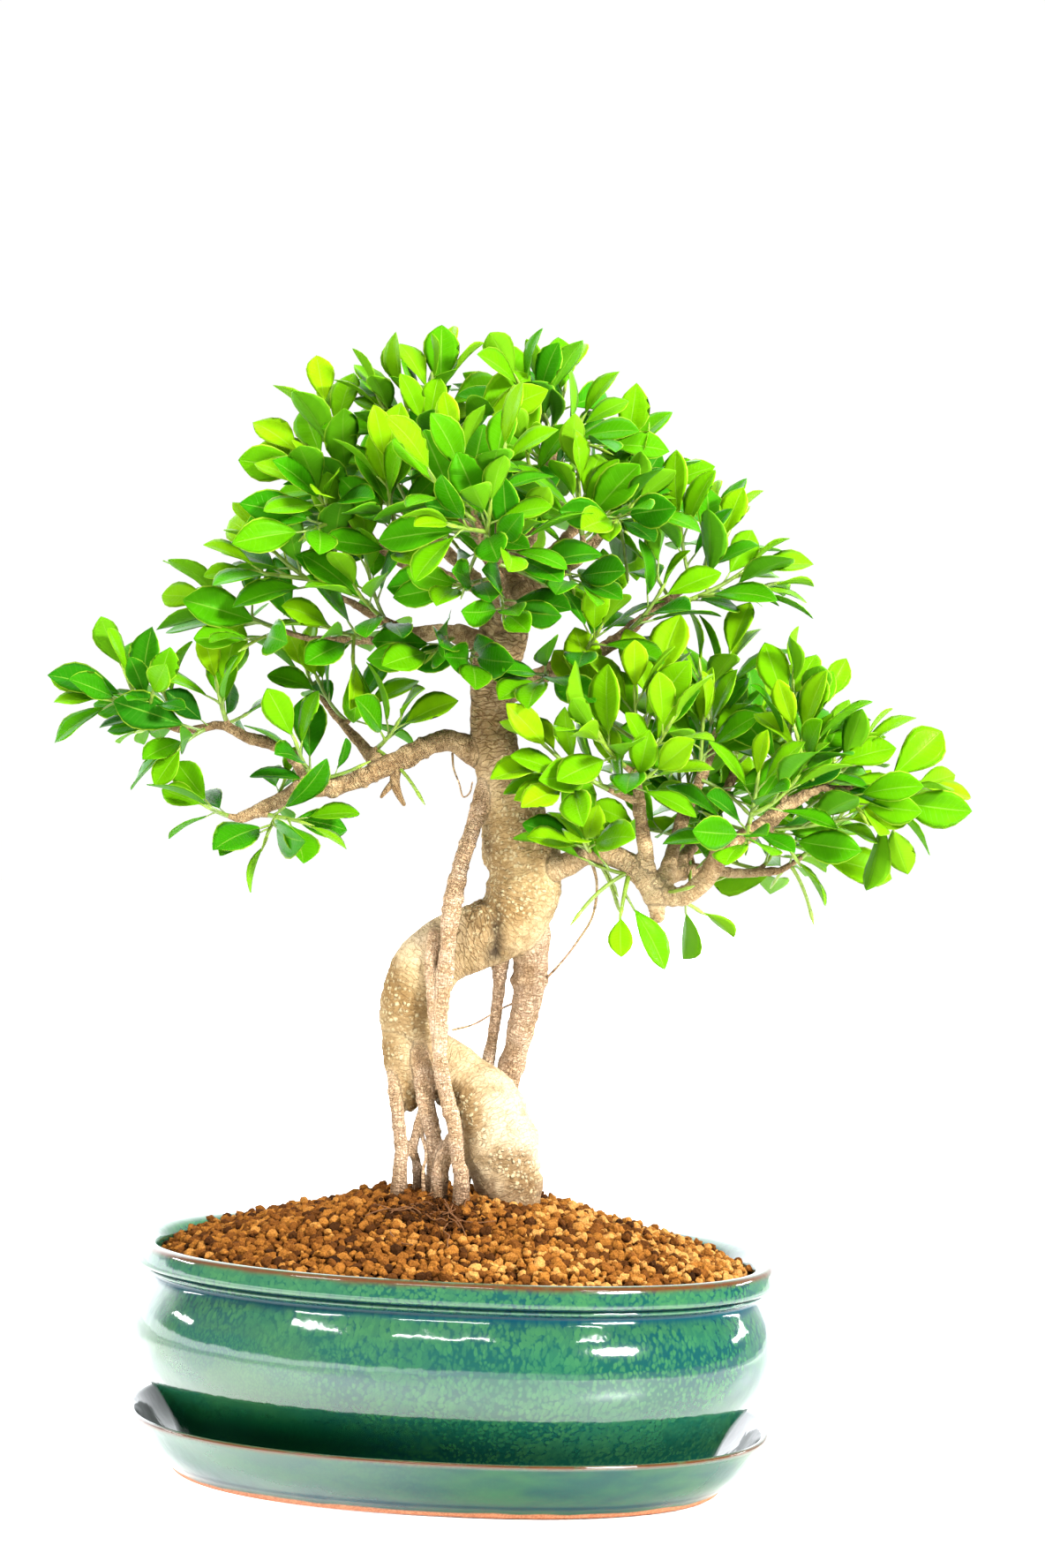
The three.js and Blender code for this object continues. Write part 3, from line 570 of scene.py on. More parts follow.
def glaze_material():
    """Glossy teal under soft green speckles, brown where it breaks, bare clay at the foot, with painted shade
    low on the left.
    """
    n = Nodes("glaze")
    split = n.add("ShaderNodeSeparateXYZ", {0: n.place()})
    x, z = split.outputs[0], split.outputs[2]
    run_down = n.times(n.math("MAXIMUM", n.minus(z, SHOULDER)), 0.30)
    on_lip = n.times(n.math("MAXIMUM", n.minus(z, LIP_FOOT)), 0.60)
    height = n.plus(n.minus(n.times(z, 0.70), run_down), on_lip)
    bend = n.noise(n.place(), 90.0, 2.0)
    where = n.add("ShaderNodeCombineXYZ", {
        0: n.math("MULTIPLY_ADD", bend, 0.006, x), 1: split.outputs[1],
        2: n.math("MULTIPLY_ADD", bend, 0.005, height)}).outputs[0]
    patch = n.noise(n.place((1, 1, 1.5)), 26.0, 3.0)
    ragged = n.times(n.minus(n.noise(n.place(), 800.0, 2.0), 0.5), 0.5)
    high = n.ramp(n.math("MULTIPLY_ADD", patch, 0.016, z), 0.080, 0.096)
    size = n.math("MULTIPLY_ADD", high, 0.16, n.ramp(patch, 0.34, 0.66, 0.70, 0.40))
    own = n.add("ShaderNodeSeparateColor", {0: n.cells(where, SPECKLES, output="Color")}).outputs[0]
    coarse = n.minus(n.cells(where, SPECKLES), size)
    coarse = n.ramp(n.plus(coarse, ragged), 0.16, -0.18)
    coarse = n.times(coarse, n.ramp(own, 0.0, 1.0, 0.55, 1.0))
    fine = n.ramp(n.plus(n.cells(where, FINE_SPECKLES), ragged), 0.72, 0.20, 0.15, 0.85)
    leftward = n.ramp(n.math("MULTIPLY_ADD", patch, 0.08, x), 0.05, -0.09)
    leftward = n.times(leftward, n.minus(1.0, high))
    spots = n.math("MULTIPLY_ADD", n.minus(fine, coarse), leftward, coarse)
    spots = n.times(spots, n.ramp(n.attribute("satin"), 0.0, 1.0, 1.0, 0.25))
    wide = n.noise(n.place((1, 1, 2.0)), 9.0, 2.0)
    deep_glaze_and_painted_shade = n.mix(n.ramp(wide, 0.35, 0.65), (0.003, 0.034, 0.034), (0.004, 0.046, 0.028))
    light = n.ramp(n.noise(n.place(), 38.0), 0.3, 0.7)
    light = n.mix(light, (0.012, 0.070, 0.033), (0.022, 0.092, 0.033))
    color = n.mix(spots, deep_glaze_and_painted_shade, light)
    olive = n.ramp(n.noise(n.place((1, 1, 2)), 30.0), 0.40, 0.62, 0.0, 0.5)
    color = n.mix(n.times(leftward, olive), color, (0.026, 0.074, 0.026))
    cloudy = n.ramp(n.noise(n.place((1, 1, 3.0)), 26.0, 3.0), 0.3, 0.7)
    cloudy = n.mix(cloudy, (0.007, 0.042, 0.040), (0.024, 0.084, 0.036))
    color = n.mix(n.times(n.attribute("satin"), 0.8), color, cloudy)
    color = n.mix(n.attribute("pool"), color, (0.001, 0.027, 0.048))
    # Painted shade darkens the lower left of the pot's belly
    color = n.mix(n.attribute("deep_glaze_and_painted_shade"), color, (0.07, 0.34, 0.22), "MULTIPLY")
    speck = n.noise(n.place(), 900.0, 3.0, 0.7)
    edge = n.times(n.attribute("breaks"), n.ramp(n.noise(n.place(), 160.0), 0.2, 0.5, 0.6, 1.0))
    color = n.mix(edge, color, (0.060, 0.019, 0.005))
    clay = n.mix(n.ramp(speck, 0.35, 0.65), (0.30, 0.105, 0.045), (0.44, 0.18, 0.09))
    color = n.mix(n.attribute("bare"), color, clay)
    rough = n.ramp(n.attribute("bare"), 0.0, 1.0, 0.075, 0.85)
    rough = n.math("MAXIMUM", rough, n.times(n.attribute("satin"), 0.17))
    relief = n.bump(n.noise(n.place(), 48.0, 2.0), 0.0005, 0.40)
    relief = n.bump(n.noise(n.place((1, 1, 0.6)), 150.0, 2.0), 0.0003, 0.40, relief)
    relief = n.bump(speck, 0.0001, n.times(n.attribute("bare"), 0.8), relief)
    gloss = n.ramp(n.attribute("satin"), 0.5, 1.0, 0.5, 0.12)
    gloss = n.times(gloss, n.ramp(n.attribute("pool"), 0.2, 0.8, 1.0, 0.3))
    n.put(n.shader, "Specular IOR Level", gloss)
    return n.finish(color, rough, relief, IOR=1.62)


def soil_material():
    """Fired clay granules: each its own shade from the mesh, which holds painted light and shade,
    dust-speckled and finely pitted.
    """
    n = Nodes("granules")
    own = n.spectrum(n.attribute("shade"), [
        (0.0, (0.014, 0.006, 0.002)), (0.18, (0.056, 0.019, 0.004)), (0.45, (0.145, 0.050, 0.008)),
        (0.75, (0.27, 0.106, 0.017)), (1.0, (0.43, 0.215, 0.056))])
    grit = n.noise(n.place(), 1500.0, 3.0, 0.7)
    color = n.mix(n.ramp(grit, 0.38, 0.62, 0.0, 0.8), own, (0.45, 0.40, 0.38), "MULTIPLY")
    relief = n.bump(grit, 0.0006, 0.9)
    return n.finish(color, 0.95, relief, Specular_IOR_Level=0.06)


PEBBLES = 480.0  # to a metre


def bark_material():
    """Bark over a tint from the mesh: creases across, cracks along the roots and small pebbles."""
    n = Nodes("bark")
    place = n.place()
    marks = n.add("ShaderNodeSeparateXYZ", {0: n.attribute("marks", "Vector")})
    dotted, rooty, ringed = marks.outputs
    grit = n.noise(place, 1000.0, 4.0, 0.7)
    blotch = n.noise(place, 120.0, 3.0, 0.6)
    wobble = n.noise(place, 210.0, output="Color")
    shaken = n.add("ShaderNodeVectorMath", {0: wobble, 1: (2.6, 2.6, 3.4), 2: n.attribute("grain", "Vector")},
                   operation="MULTIPLY_ADD").outputs[0]

    def net(scale, width):
        """Thin lines round pads that are longer one way than the other."""
        stretched = n.add("ShaderNodeMapping", {"Vector": shaken, "Scale": scale}).outputs[0]
        return n.ramp(n.cells(stretched, 1.0, "DISTANCE_TO_EDGE"), width, 0.1 * width)

    color = n.attribute("tint", "Color")
    color = n.mix(n.ramp(blotch, 0.35, 0.7, 0.0, 0.35), color, (0.62, 0.50, 0.33), "MULTIPLY")
    color = n.mix(n.ramp(grit, 0.38, 0.58, 0.40, 0.0), color, (0.42, 0.31, 0.19), "MULTIPLY")
    crack = n.times(net((0.85, 0.85, 0.16), 0.12), rooty)
    color = n.mix(n.times(crack, 0.42), color, (0.50, 0.35, 0.22), "MULTIPLY")
    ring = n.times(net((0.20, 0.20, 0.80), 0.14), rooty)
    color = n.mix(n.times(ring, 0.45), color, (0.52, 0.38, 0.25), "MULTIPLY")
    fold = n.times(net((0.15, 0.15, 0.50), 0.11), ringed)
    color = n.mix(n.times(fold, 0.7), color, (0.46, 0.34, 0.19), "MULTIPLY")
    shift = {0: n.times(blotch, 0.004), 2: n.times(blotch, 0.003)}
    shift = n.add("ShaderNodeCombineXYZ", shift).outputs[0]
    warped = n.add("ShaderNodeVectorMath", {0: place, 1: shift}, operation="ADD").outputs[0]
    which = n.add("ShaderNodeSeparateColor", {0: n.cells(warped, PEBBLES, output="Color")}).outputs[0]
    past = n.minus(n.cells(warped, PEBBLES), n.ramp(which, 0.05, 0.95, 0.22, 0.46))
    dots = n.times(n.ramp(past, 0.08, -0.16), dotted)
    around = n.times(n.ramp(past, -0.04, 0.16), dotted)
    color = n.mix(n.times(around, 0.75), color, (0.48, 0.355, 0.19), "MULTIPLY")
    dotty = n.times(dots, n.ramp(which, 0.1, 0.9, 0.30, 0.80))
    color = n.mix(dotty, color, (0.41, 0.34, 0.19))
    sunk = n.minus(0.0, n.plus(n.plus(crack, ring), fold))
    relief = n.bump(sunk, 0.0009, 0.9, n.bump(dots, 0.0007, 0.9, n.bump(grit, 0.0006, 0.5)))
    return n.finish(color, 0.85, relief, Specular_IOR_Level=0.2)


VEINS = 13.0  # on each side of a leaf


def leaf_material(name, under):
    """Leathery leaf: midrib, faint side veins and a thin light margin over its age's green."""
    n = Nodes(name)
    split = n.add("ShaderNodeSeparateXYZ", {0: n.attribute("blade", "Vector")})
    across, along = n.math("ABSOLUTE", split.outputs[0]), split.outputs[1]
    green = n.spectrum(n.attribute("young"), [
        (0.0, (0.007, 0.070, 0.003)), (0.30, (0.028, 0.185, 0.001)), (0.60, (0.110, 0.305, 0.001)),
        (1.0, (0.190, 0.37, 0.002))])
    color = n.mix(n.ramp(n.attribute("tone"), 0.2, 1.0, 0.0, 0.6), green, (0.42, 0.72, 0.90), "MULTIPLY")
    cloud = n.noise(n.place(), 180.0, 2.0)
    color = n.mix(n.ramp(cloud, 0.35, 0.7, 0.0, 0.35), color, (0.7, 0.85, 0.6), "MULTIPLY")
    pale = n.mix(0.45, color, (0.26, 0.42, 0.05))
    slant = n.minus(along, n.times(across, 0.13))
    comb = n.minus(n.math("FRACT", n.times(slant, VEINS)), 0.5)
    veins = n.ramp(n.math("ABSOLUTE", comb), 0.10, 0.0)
    color = n.mix(n.times(veins, 0.14), color, pale)
    rib = n.ramp(across, 0.06, 0.02)
    color = n.mix(n.times(rib, 0.7), color, pale)
    margin = n.ramp(across, 0.90, 0.965)
    color = n.mix(n.times(margin, 0.9), color, n.mix(0.65, color, (0.42, 0.62, 0.04)))
    if under:
        color = n.mix(0.40, color, (0.075, 0.21, 0.008))
    smoothest, roughest = (0.5, 0.6) if under else (0.26, 0.4)
    rough = n.ramp(n.noise(n.place(), 700.0), 0.3, 0.7, smoothest, roughest)
    height = n.minus(n.times(veins, -0.5), rib)
    relief = n.bump(height, 0.00025, 0.5)
    n.finish(color, rough, relief, IOR=1.45, Specular_IOR_Level=0.18, Specular_Tint=(0.32, 1.0, 0.10, 1.0))
    through = n.mix(0.40, color, (0.22, 0.54, 0.002))
    glow = n.add("ShaderNodeBsdfTranslucent", {"Color": through}).outputs[0]
    both = n.add("ShaderNodeMixShader", {0: 0.30, 1: n.shader.outputs[0], 2: glow}).outputs[0]
    n.tree.links.new(both, n.tree.nodes["Material Output"].inputs["Surface"])
    return n.owner


def shoot_material():
    """Green stems, browner in flecks."""
    n = Nodes("shoot")
    place = n.place()
    color = n.mix(n.attribute("young"), (0.055, 0.105, 0.012), (0.17, 0.27, 0.018))
    woody = n.ramp(n.noise(place, 500.0, 3.0), 0.4, 0.7, 0.0, 0.5)
    color = n.mix(woody, color, (0.5, 0.42, 0.25), "MULTIPLY")
    relief = n.bump(n.noise(place, 1200.0, 2.0), 0.0002, 0.4)
    return n.finish(color, 0.42, relief)


def screen_material():
    """Black plastic mesh."""
    n = Nodes("screen")
    grain = n.noise(n.place(), 2200.0, 3.0, 0.6)
    color = n.mix(n.ramp(grain, 0.3, 0.7), (0.010, 0.011, 0.012), (0.022, 0.024, 0.025))
    return n.finish(color, n.ramp(grain, 0.3, 0.7, 0.5, 0.7), n.bump(grain, 0.0001, 0.4))


glaze, bark = glaze_material(), bark_material()
leaf_top, leaf_under = leaf_material("leaf_top", False), leaf_material("leaf_under", True)
shoot_green = shoot_material()
granule = soil_material()

for node in ("drain_screen_left", "drain_screen_right"):
    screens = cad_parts[node].data.materials
    screens.clear()
    screens.append(screen_material())

# Pot and saucer: profiles as half lengths and heights, from the middle of the foot round to the inside
POT = [
    [0, 10.3], [106, 10.3], [110.5, 10], [112, 6.5], [115, 6.3], [119.3, 6.3], [120.6, 7], [122.2, 9.5],
    [125.4, 15], [129, 24], [136, 35.2], [144.8, 47.2], [149, 56], [150.1, 63], [149.2, 71], [147, 78.5],
    [143.7, 85], [141.7, 88.6], [141.1, 90.4], [141.6, 91.7], [144, 92.3], [145.3, 93], [145.4, 94],
    [144.6, 94.7], [144.4, 95.2], [146.2, 95.5], [148.4, 95.8], [149.2, 96.8], [149.1, 98.4], [148.4, 101.6],
    [147.7, 104.2], [146.8, 105.6], [145.4, 106.1],
    [143, 105.8], [140.6, 104.8], [139.2, 103.2], [138, 100], [137, 95], [139.2, 84], [140.8, 70], [140, 58],
    [136.5, 45], [129, 33], [120, 25], [111, 20.6], [100, 20], [0, 20],
]
SAUCER = [
    [0, 0], [124, 0], [126.8, 0.1], [128, 0.7], [128.9, 2], [130, 3.6], [133.4, 6.6], [138.6, 11.8],
    [143, 17.6], [146.4, 22.8], [148.6, 25.8], [149.2, 27.2], [148.7, 28.2], [147.4, 28.4], [146, 27.6],
    [143.6, 24], [139.6, 17.4], [134, 12], [128.4, 9], [124, 6.8], [120, 6], [60, 6], [0, 6],
]
SAUCER_LIP = SAUCER.index([149.2, 27.2])
SEGMENTS = 224  # points around the pot and the saucer
ROUNDS = 2  # each makes two points of a profile's one
DRAINS, DRAIN_RADIUS = (-70, 70), 11


def glaze_marks(points, breaks_at, pools_at, bare_below):
    """Where glaze breaks brown, pools blue or is missing. Spots are half length, height and width."""
    a = half_length_at(points[:, 0], points[:, 1])
    z = points[:, 2]
    uneven = noise(points * 0.09, 3)

    def near(spots):
        total = np.zeros(len(points))
        for spot_a, spot_z, width in spots:
            away = np.hypot(a - spot_a, z - spot_z) / (width * (1 + 0.35 * uneven))
            total = np.maximum(total, np.exp(-(away**2)))
        return total

    bare = smoothstep(bare_below + 0.5, bare_below - 0.3, z + 0.5 * uneven)
    marks = {"breaks": near(breaks_at), "pool": 0.85 * near(pools_at), "bare": bare}
    return {**marks, "satin": 0 * bare, "deep_glaze_and_painted_shade": 0 * bare}


pot_points, pot_faces = oval_shell(rounded(POT, ROUNDS), SEGMENTS)
pools = [(141.5, 90.6, 2.6), (144.5, 95.2, 1.2), (123, 12, 7)]
marks = glaze_marks(pot_points, [(147.3, 105.1, 1.5)], pools, 8.6)
# Painted shade, strongest low on the belly and towards the left
marks["deep_glaze_and_painted_shade"] = smoothstep(58, 34, pot_points[:, 2]) * smoothstep(80, -60, pot_points[:, 0])
pot = add_mesh("pot_glazed", pot_points, pot_faces, "glaze", [glaze], marks)
cutters = []
for x in DRAINS:
    bpy.ops.mesh.primitive_cylinder_add(vertices=48, radius=DRAIN_RADIUS * MM, depth=24 * MM,
                                        location=(x * MM, 0, 15 * MM))
    cutters.append(bpy.context.object)
for cutter in cutters:
    cut = pot.modifiers.new("drain", "BOOLEAN")
    cut.operation, cut.object, cut.solver = "DIFFERENCE", cutter, "EXACT"
depsgraph = bpy.context.evaluated_depsgraph_get()
drained = bpy.data.meshes.new_from_object(pot.evaluated_get(depsgraph))
pot.modifiers.clear()
pot.data = drained
for cutter in cutters:
    bpy.data.objects.remove(cutter)
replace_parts(pot, "pot")

saucer_points, saucer_faces = oval_shell(rounded(SAUCER, ROUNDS), SEGMENTS)
marks = glaze_marks(saucer_points, [(148.9, 27.5, 1.1)], [(132, 6.5, 2.0)], 2.6)
outside = np.arange(len(saucer_points)) < SEGMENTS * 2**ROUNDS * (SAUCER_LIP - 1)  # rings below the lip
rightward = smoothstep(-60, 60, saucer_points[:, 0])
marks["satin"] = outside * smoothstep(27.0, 25.5, saucer_points[:, 2]) * (0.65 + 0.35 * rightward)
saucer = add_mesh("saucer_glazed", saucer_points, saucer_faces, "glaze", [glaze], marks)
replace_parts(saucer, "saucer")

# Wood
BROWN, TAN, CREAM = (0.165, 0.100, 0.042), (0.42, 0.30, 0.155), (0.56, 0.445, 0.265)
GREY, OLIVE, DARK = (0.62, 0.465, 0.325), (0.26, 0.19, 0.085), (0.030, 0.019, 0.009)
HONEY, ASHEN, ROSY = (0.55, 0.44, 0.23), (0.485, 0.41, 0.305), (0.50, 0.355, 0.215)
SOILED, HOLLOW_PAINTED_SHADE, SHADOW = (0.13, 0.065, 0.026), (0.31, 0.21, 0.09), (0.34, 0.235, 0.10)
HAIR_ROOT_THINNED = 0.62  # of the solids' radius
woody = {"trunk": TRUNK, **ROOTS, **LIMBS}
samples = []  # x, y, z, radius, run, kind (0 trunk, 1 root, 2 limb), limb number and the frame there
trunk_parts, limb_parts, hair_parts = [], [], []
for number, (name, stations) in enumerate(woody.items()):
    kind = 0 if name in ("trunk", "column_foot") else (1 if name in ROOTS else 2)
    path = smooth_path(stations, 1.6)
    run = run_along(path)
    tangent, side, up = frames_along(path)
    if name == "hair_root":
        hair_parts.append(sweep(path * [1, 1, 1, HAIR_ROOT_THINNED], 8))
        continue
    of_limb = np.full((len(path), 2), (kind, number))
    samples.append(np.column_stack([path, run, of_limb, tangent, side, up]))
    lumpy = path.copy()
    lumpy[:, 3] *= 1 + 0.07 * noise(np.column_stack([run / 9, run * 0 + number, run * 0]), 5)
    tube = sweep(lumpy, 28 if kind == 0 else 16, 0.045 if kind == 0 else 0.03, number)
    (limb_parts if kind == 2 else trunk_parts).append(tube)
samples = np.vstack(samples)


def remeshed(points, faces, voxel):
    """Overlapping closed tubes as one skin."""
    mesh = bpy.data.meshes.new("raw")
    mesh.from_pydata((points * MM).tolist(), [], faces)
    raw = bpy.data.objects.new("raw", mesh)
    bpy.context.scene.collection.objects.link(raw)
    merge = raw.modifiers.new("merge", "REMESH")
    merge.mode, merge.voxel_size = "VOXEL", voxel * MM
    skin = bpy.data.meshes.new_from_object(raw.evaluated_get(bpy.context.evaluated_depsgraph_get()))
    bpy.data.objects.remove(raw)
    co = np.empty(len(skin.vertices) * 3)
    skin.vertices.foreach_get("co", co)
    skin_faces = [tuple(p.vertices) for p in skin.polygons]
    edges = np.empty(len(skin.edges) * 2, dtype=np.int64)
    skin.edges.foreach_get("vertices", edges)
    return co.reshape(-1, 3) / MM, skin_faces, edges.reshape(-1, 2)


def evened(values, edges, steps):
    """Each point's values moved towards its neighbours' mean by each step's share."""
    count = np.bincount(edges.ravel(), minlength=len(values))[:, None]
    for share in steps:
        total = np.zeros_like(values)
        np.add.at(total, edges[:, 0], values[edges[:, 1]])
        np.add.at(total, edges[:, 1], values[edges[:, 0]])
        values = values + share * (total / count - values)
    return values


def on_wood(co):
    """For each point: its nearest sample, the place along and round that limb, and how sure the limb is."""
    nearest = np.empty(len(co), dtype=np.int64)
    sure = np.empty(len(co))
    limb = samples[:, 6]
    for at in range(0, len(co), 2048):
        away = np.linalg.norm(co[at : at + 2048, None] - samples[None, :, :3], axis=2) - samples[:, 3]
        best = away.argmin(axis=1)
        nearest[at : at + 2048] = best
        other = np.where(limb[None] == limb[best][:, None], 99.0, away).min(axis=1)
        sure[at : at + 2048] = np.clip((other - away.min(axis=1)) / 3, 0, 1)
    s = samples[nearest]
    offset = co - s[:, :3]
    run = s[:, 4] + np.einsum("ij,ij->i", offset, s[:, 7:10])
    turn = np.arctan2(np.einsum("ij,ij->i", offset, s[:, 13:16]), np.einsum("ij,ij->i", offset, s[:, 10:13]))
    return s, run, turn, sure


def vertex_normals(co, faces):
    """Unit normals of points whose faces are triangles or quads."""
    quads = np.array([f if len(f) == 4 else (*f, f[-1]) for f in faces])
    normal = np.cross(co[quads[:, 2]] - co[quads[:, 0]], co[quads[:, 3]] - co[quads[:, 1]])
    total = np.zeros_like(co)
    for k in range(4):
        np.add.at(total, quads[:, k], normal)
    return total / np.maximum(np.linalg.norm(total, axis=1), 1e-12)[:, None]


def blended(a, b, t):
    """Colours a with a share t of colours b."""
    return np.asarray(a) * (1 - t[:, None]) + np.asarray(b) * t[:, None]


def bell(co, spot, size):
    """1 at the spot, falling to 0 around it."""
    return np.exp(-(np.linalg.norm((co - spot) / size, axis=1) ** 2))


def line_distance(co, stations):
    """Distance of each point to a line through the stations."""
    away = np.full(len(co), 99.0)
    for a, b in zip(np.array(stations[:-1], float), np.array(stations[1:], float)):
        t = np.clip((co - a) @ (b - a) / (b - a).dot(b - a), 0, 1)
        away = np.minimum(away, np.linalg.norm(co - a - t[:, None] * (b - a), axis=1))
    return away


# Places on the bark with their size and weight
PEBBLED = [((-37, -8, 212), 26, 0.9), ((5, -14, 168), 17, 0.8), ((18, -16, 288), 24, 0.9),
           ((27, -16, 146), 13, 0.9)]
SMOOTH = [((-20, -8, 248), 15, 1.2), ((34, -12, 176), 24, 1.3), ((-26, -12, 196), 8, 0.4)]
SCARS = [((3, -11, 293), 5, 0.9), ((-6, -10, 172), 8, 0.8), ((0, 12, 250), 10, 0.8), ((12, -11, 243), 6, 0.8)]
SHADED = [((-24, -12, 226), 16, 0.75), ((5, -14, 288), 17, 0.75), ((-3, -12, 170), 13, 0.6),
          ((17, -16, 262), 11, 0.6)]
CREASE = [[3, -15, 284], [7, -17, 272], [10, -17, 262], [12, -15, 252], [12, -12, 242]]  # under the loop
ARCH = (-4, -14, 256)  # where the loop comes out of the trunk


def bark_relief(co, edges):
    """How far the bark stands out in millimetres, with its tint, which holds painted shade and light, its
    grain and its marks.
    """
    s, run, turn, sure = on_wood(co)
    radius = s[:, 3]
    kinds = (s[:, 5, None] == [0, 1, 2]) * 1.0
    trunk, root, limb = (evened(kinds, edges, [0.6] * 12) if edges is not None else kinds).T
    slow, broad = noise(co / 14, 11), noise(co / 30, 17)
    ringed = noise(np.column_stack([run * 0.5, co[:, 0] * 0.08, co[:, 1] * 0.08]) + 0.3 * slow[:, None], 12)
    bumpy, rough = noise(co / 5.5, 16), noise(co / 2.6, 18)
    joint = noise(np.column_stack([run * 0.38, s[:, 6] * 3.7, turn * 0]), 15)
    pebbled = 0.55 * noise(co / 19, 13) + sum(w * bell(co, at, size) for at, size, w in PEBBLED)
    pebbled = smoothstep(-0.15, 0.6, pebbled - sum(w * bell(co, at, size) for at, size, w in SMOOTH))
    high = smoothstep(300, 350, co[:, 2])
    knob = pebbles(co / 3.3, 51)
    height = 0.9 * broad + 0.8 * slow + 0.45 * bumpy + 0.30 * rough * (0.4 + pebbled) + 0.25 * ringed
    height = trunk * (height + 0.55 * pebbled * smoothstep(0.62, 0.15, knob))
    height += root * (0.40 * bumpy * (radius > 3) + 0.22 * rough + 0.45 * smoothstep(0.3, 0.65, joint))
    height += limb * (0.55 * bumpy + 0.35 * rough + 0.55 * smoothstep(0.25, 0.6, joint))
    height *= np.clip(radius / 4, 0.35, 1) * (0.4 + 0.6 * sure)
    height += 1.3 * root * np.exp(-(((co[:, 2] - 231) / 2.6) ** 2)) * (co[:, 0] > 20)
    worn = smoothstep(-1.2, 1.0, ringed * 0.5 + slow)
    upper = smoothstep(258, 285, co[:, 2]) * smoothstep(330, 310, co[:, 2])
    tint = blended(blended(TAN, CREAM, worn), OLIVE, 0.4 * pebbled * trunk * (1 - 0.8 * upper))
    tint = blended(tint, HONEY, 0.6 * upper * trunk)
    # Paler, smoother bark on the bulb's right and on top of the loop: partly the bark's own, partly painted
    # light where the light falls
    pale = trunk * np.clip(1.3 * bell(co, (34, -12, 168), 30) + bell(co, (-20, -8, 250), 16), 0, 1)
    tint = blended(tint, ASHEN, 0.75 * pale)
    tint = blended(tint, blended(ROSY, GREY, smoothstep(-0.7, 0.5, bumpy)), root)
    stout = limb * smoothstep(105, 75, co[:, 0]) * smoothstep(20, 30, co[:, 0])
    stout = stout * smoothstep(305, 298, co[:, 2])
    brown = 0.8 * np.maximum(high, limb * smoothstep(265, 300, co[:, 2])) * (1 - 0.75 * stout)
    tint = blended(tint, blended(BROWN, TAN, smoothstep(-0.5, 0.7, rough + 0.5 * slow)), brown)
    tint = blended(tint, OLIVE, 0.4 * trunk * smoothstep(-0.1, -0.9, bumpy + 0.4 * slow) * (1 - upper))
    tint = blended(tint, SOILED, 0.75 * smoothstep(146, 133, co[:, 2] + 4 * rough))
    # Painted shade in the hollows, where the relief sinks
    hollow_painted_shade = smoothstep(0.2, -1.0, 0.5 * broad + 0.8 * slow + 0.6 * bumpy) * (1 - pale)
    tint = blended(tint, HOLLOW_PAINTED_SHADE, 0.60 * hollow_painted_shade * trunk)
    for spot, size, depth in SHADED:
        tint = blended(tint, SHADOW, depth * bell(co, spot, size) * trunk)
    ragged = smoothstep(-1.1, 0.2, bumpy + 0.7 * rough)
    for spot, size, depth in SCARS:
        dark = bell(co, spot, size) * ragged
        tint = blended(tint, DARK, depth * dark)
        height -= 0.8 * dark
    # A groove under the loop, its dark colour painted shade
    groove_and_painted_shade = np.exp(-((line_distance(co, CREASE) / (3.1 + 0.9 * rough)) ** 2)) * trunk
    tint = blended(tint, DARK, 0.85 * groove_and_painted_shade)
    height -= 2.4 * groove_and_painted_shade
    # The trunk a little darker all over, and darker with painted shade where the loop comes out of it
    tint = tint * (1 - 0.14 * trunk - 0.12 * trunk * bell(co, ARCH, 17))[:, None]
    spread = np.maximum(radius, 1.5)
    grain = np.column_stack([np.cos(turn) * spread, np.sin(turn) * spread, run + 40 * s[:, 6]])
    dotted = np.clip(trunk * (0.12 + 0.88 * pebbled) + 0.35 * limb + 0.12 * root, 0, 1)
    dotted *= 1 - 0.6 * high - 0.25 * upper
    folded = (0.35 + 0.5 * high + 0.6 * bell(co, ARCH, 15)) * trunk + 0.5 * limb + 0.35 * root
    marks = np.column_stack([dotted, root * 0.9 + 0.35 * limb, folded]) * (0.4 + 0.6 * sure)[:, None]
    return height, {"tint": tint, "grain": grain, "marks": marks}


def add_wood(name, points, faces, edges=None):
    """Wood with its bark's marks, and with relief where the edges are given."""
    height, marks = bark_relief(points, edges)
    if edges is not None:
        points = points + vertex_normals(points, faces) * height[:, None]
    return add_mesh(name, points, faces, "bark", [bark], marks)


for name, tubes, voxel in (("wood_trunk", trunk_parts, 0.95), ("wood_limbs", limb_parts, 1.2)):
    skin, skin_faces, skin_edges = remeshed(*joined(tubes), voxel)
    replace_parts(add_wood(name, evened(skin, skin_edges, [0.5, -0.52] * 3), skin_faces, skin_edges), "wood")

# Routes of the twigs and shoots, the same as the solids'
SHOOT_LENGTH, FORK, SIDE_BARE, TIP_LEAF = 40, 0.25, 0.25, 27
LEAF_LENGTH, LEAF_WIDTH, LEAF_THICKNESS, LEAF_ARCH, PETIOLE = 31, 0.6, 0.7, 0.16, 8
LEAVES_KEPT = (0, 2, 5)
SWINGS = (0, 25, -25, 50, -50, 80, -80, 115, -115, 150, -150)
GOLDEN_ANGLE = 137.5  # from leaf to leaf round a shoot
draw_state = 20231


def draw():
    """The next number of the row that the solids draw their leaves from."""
    global draw_state
    draw_state = (draw_state * 16807) % 2147483647
    return draw_state / 2147483647


def mix(a, b, t):
    """From a at 0 to b at 1."""
    return a + (b - a) * t


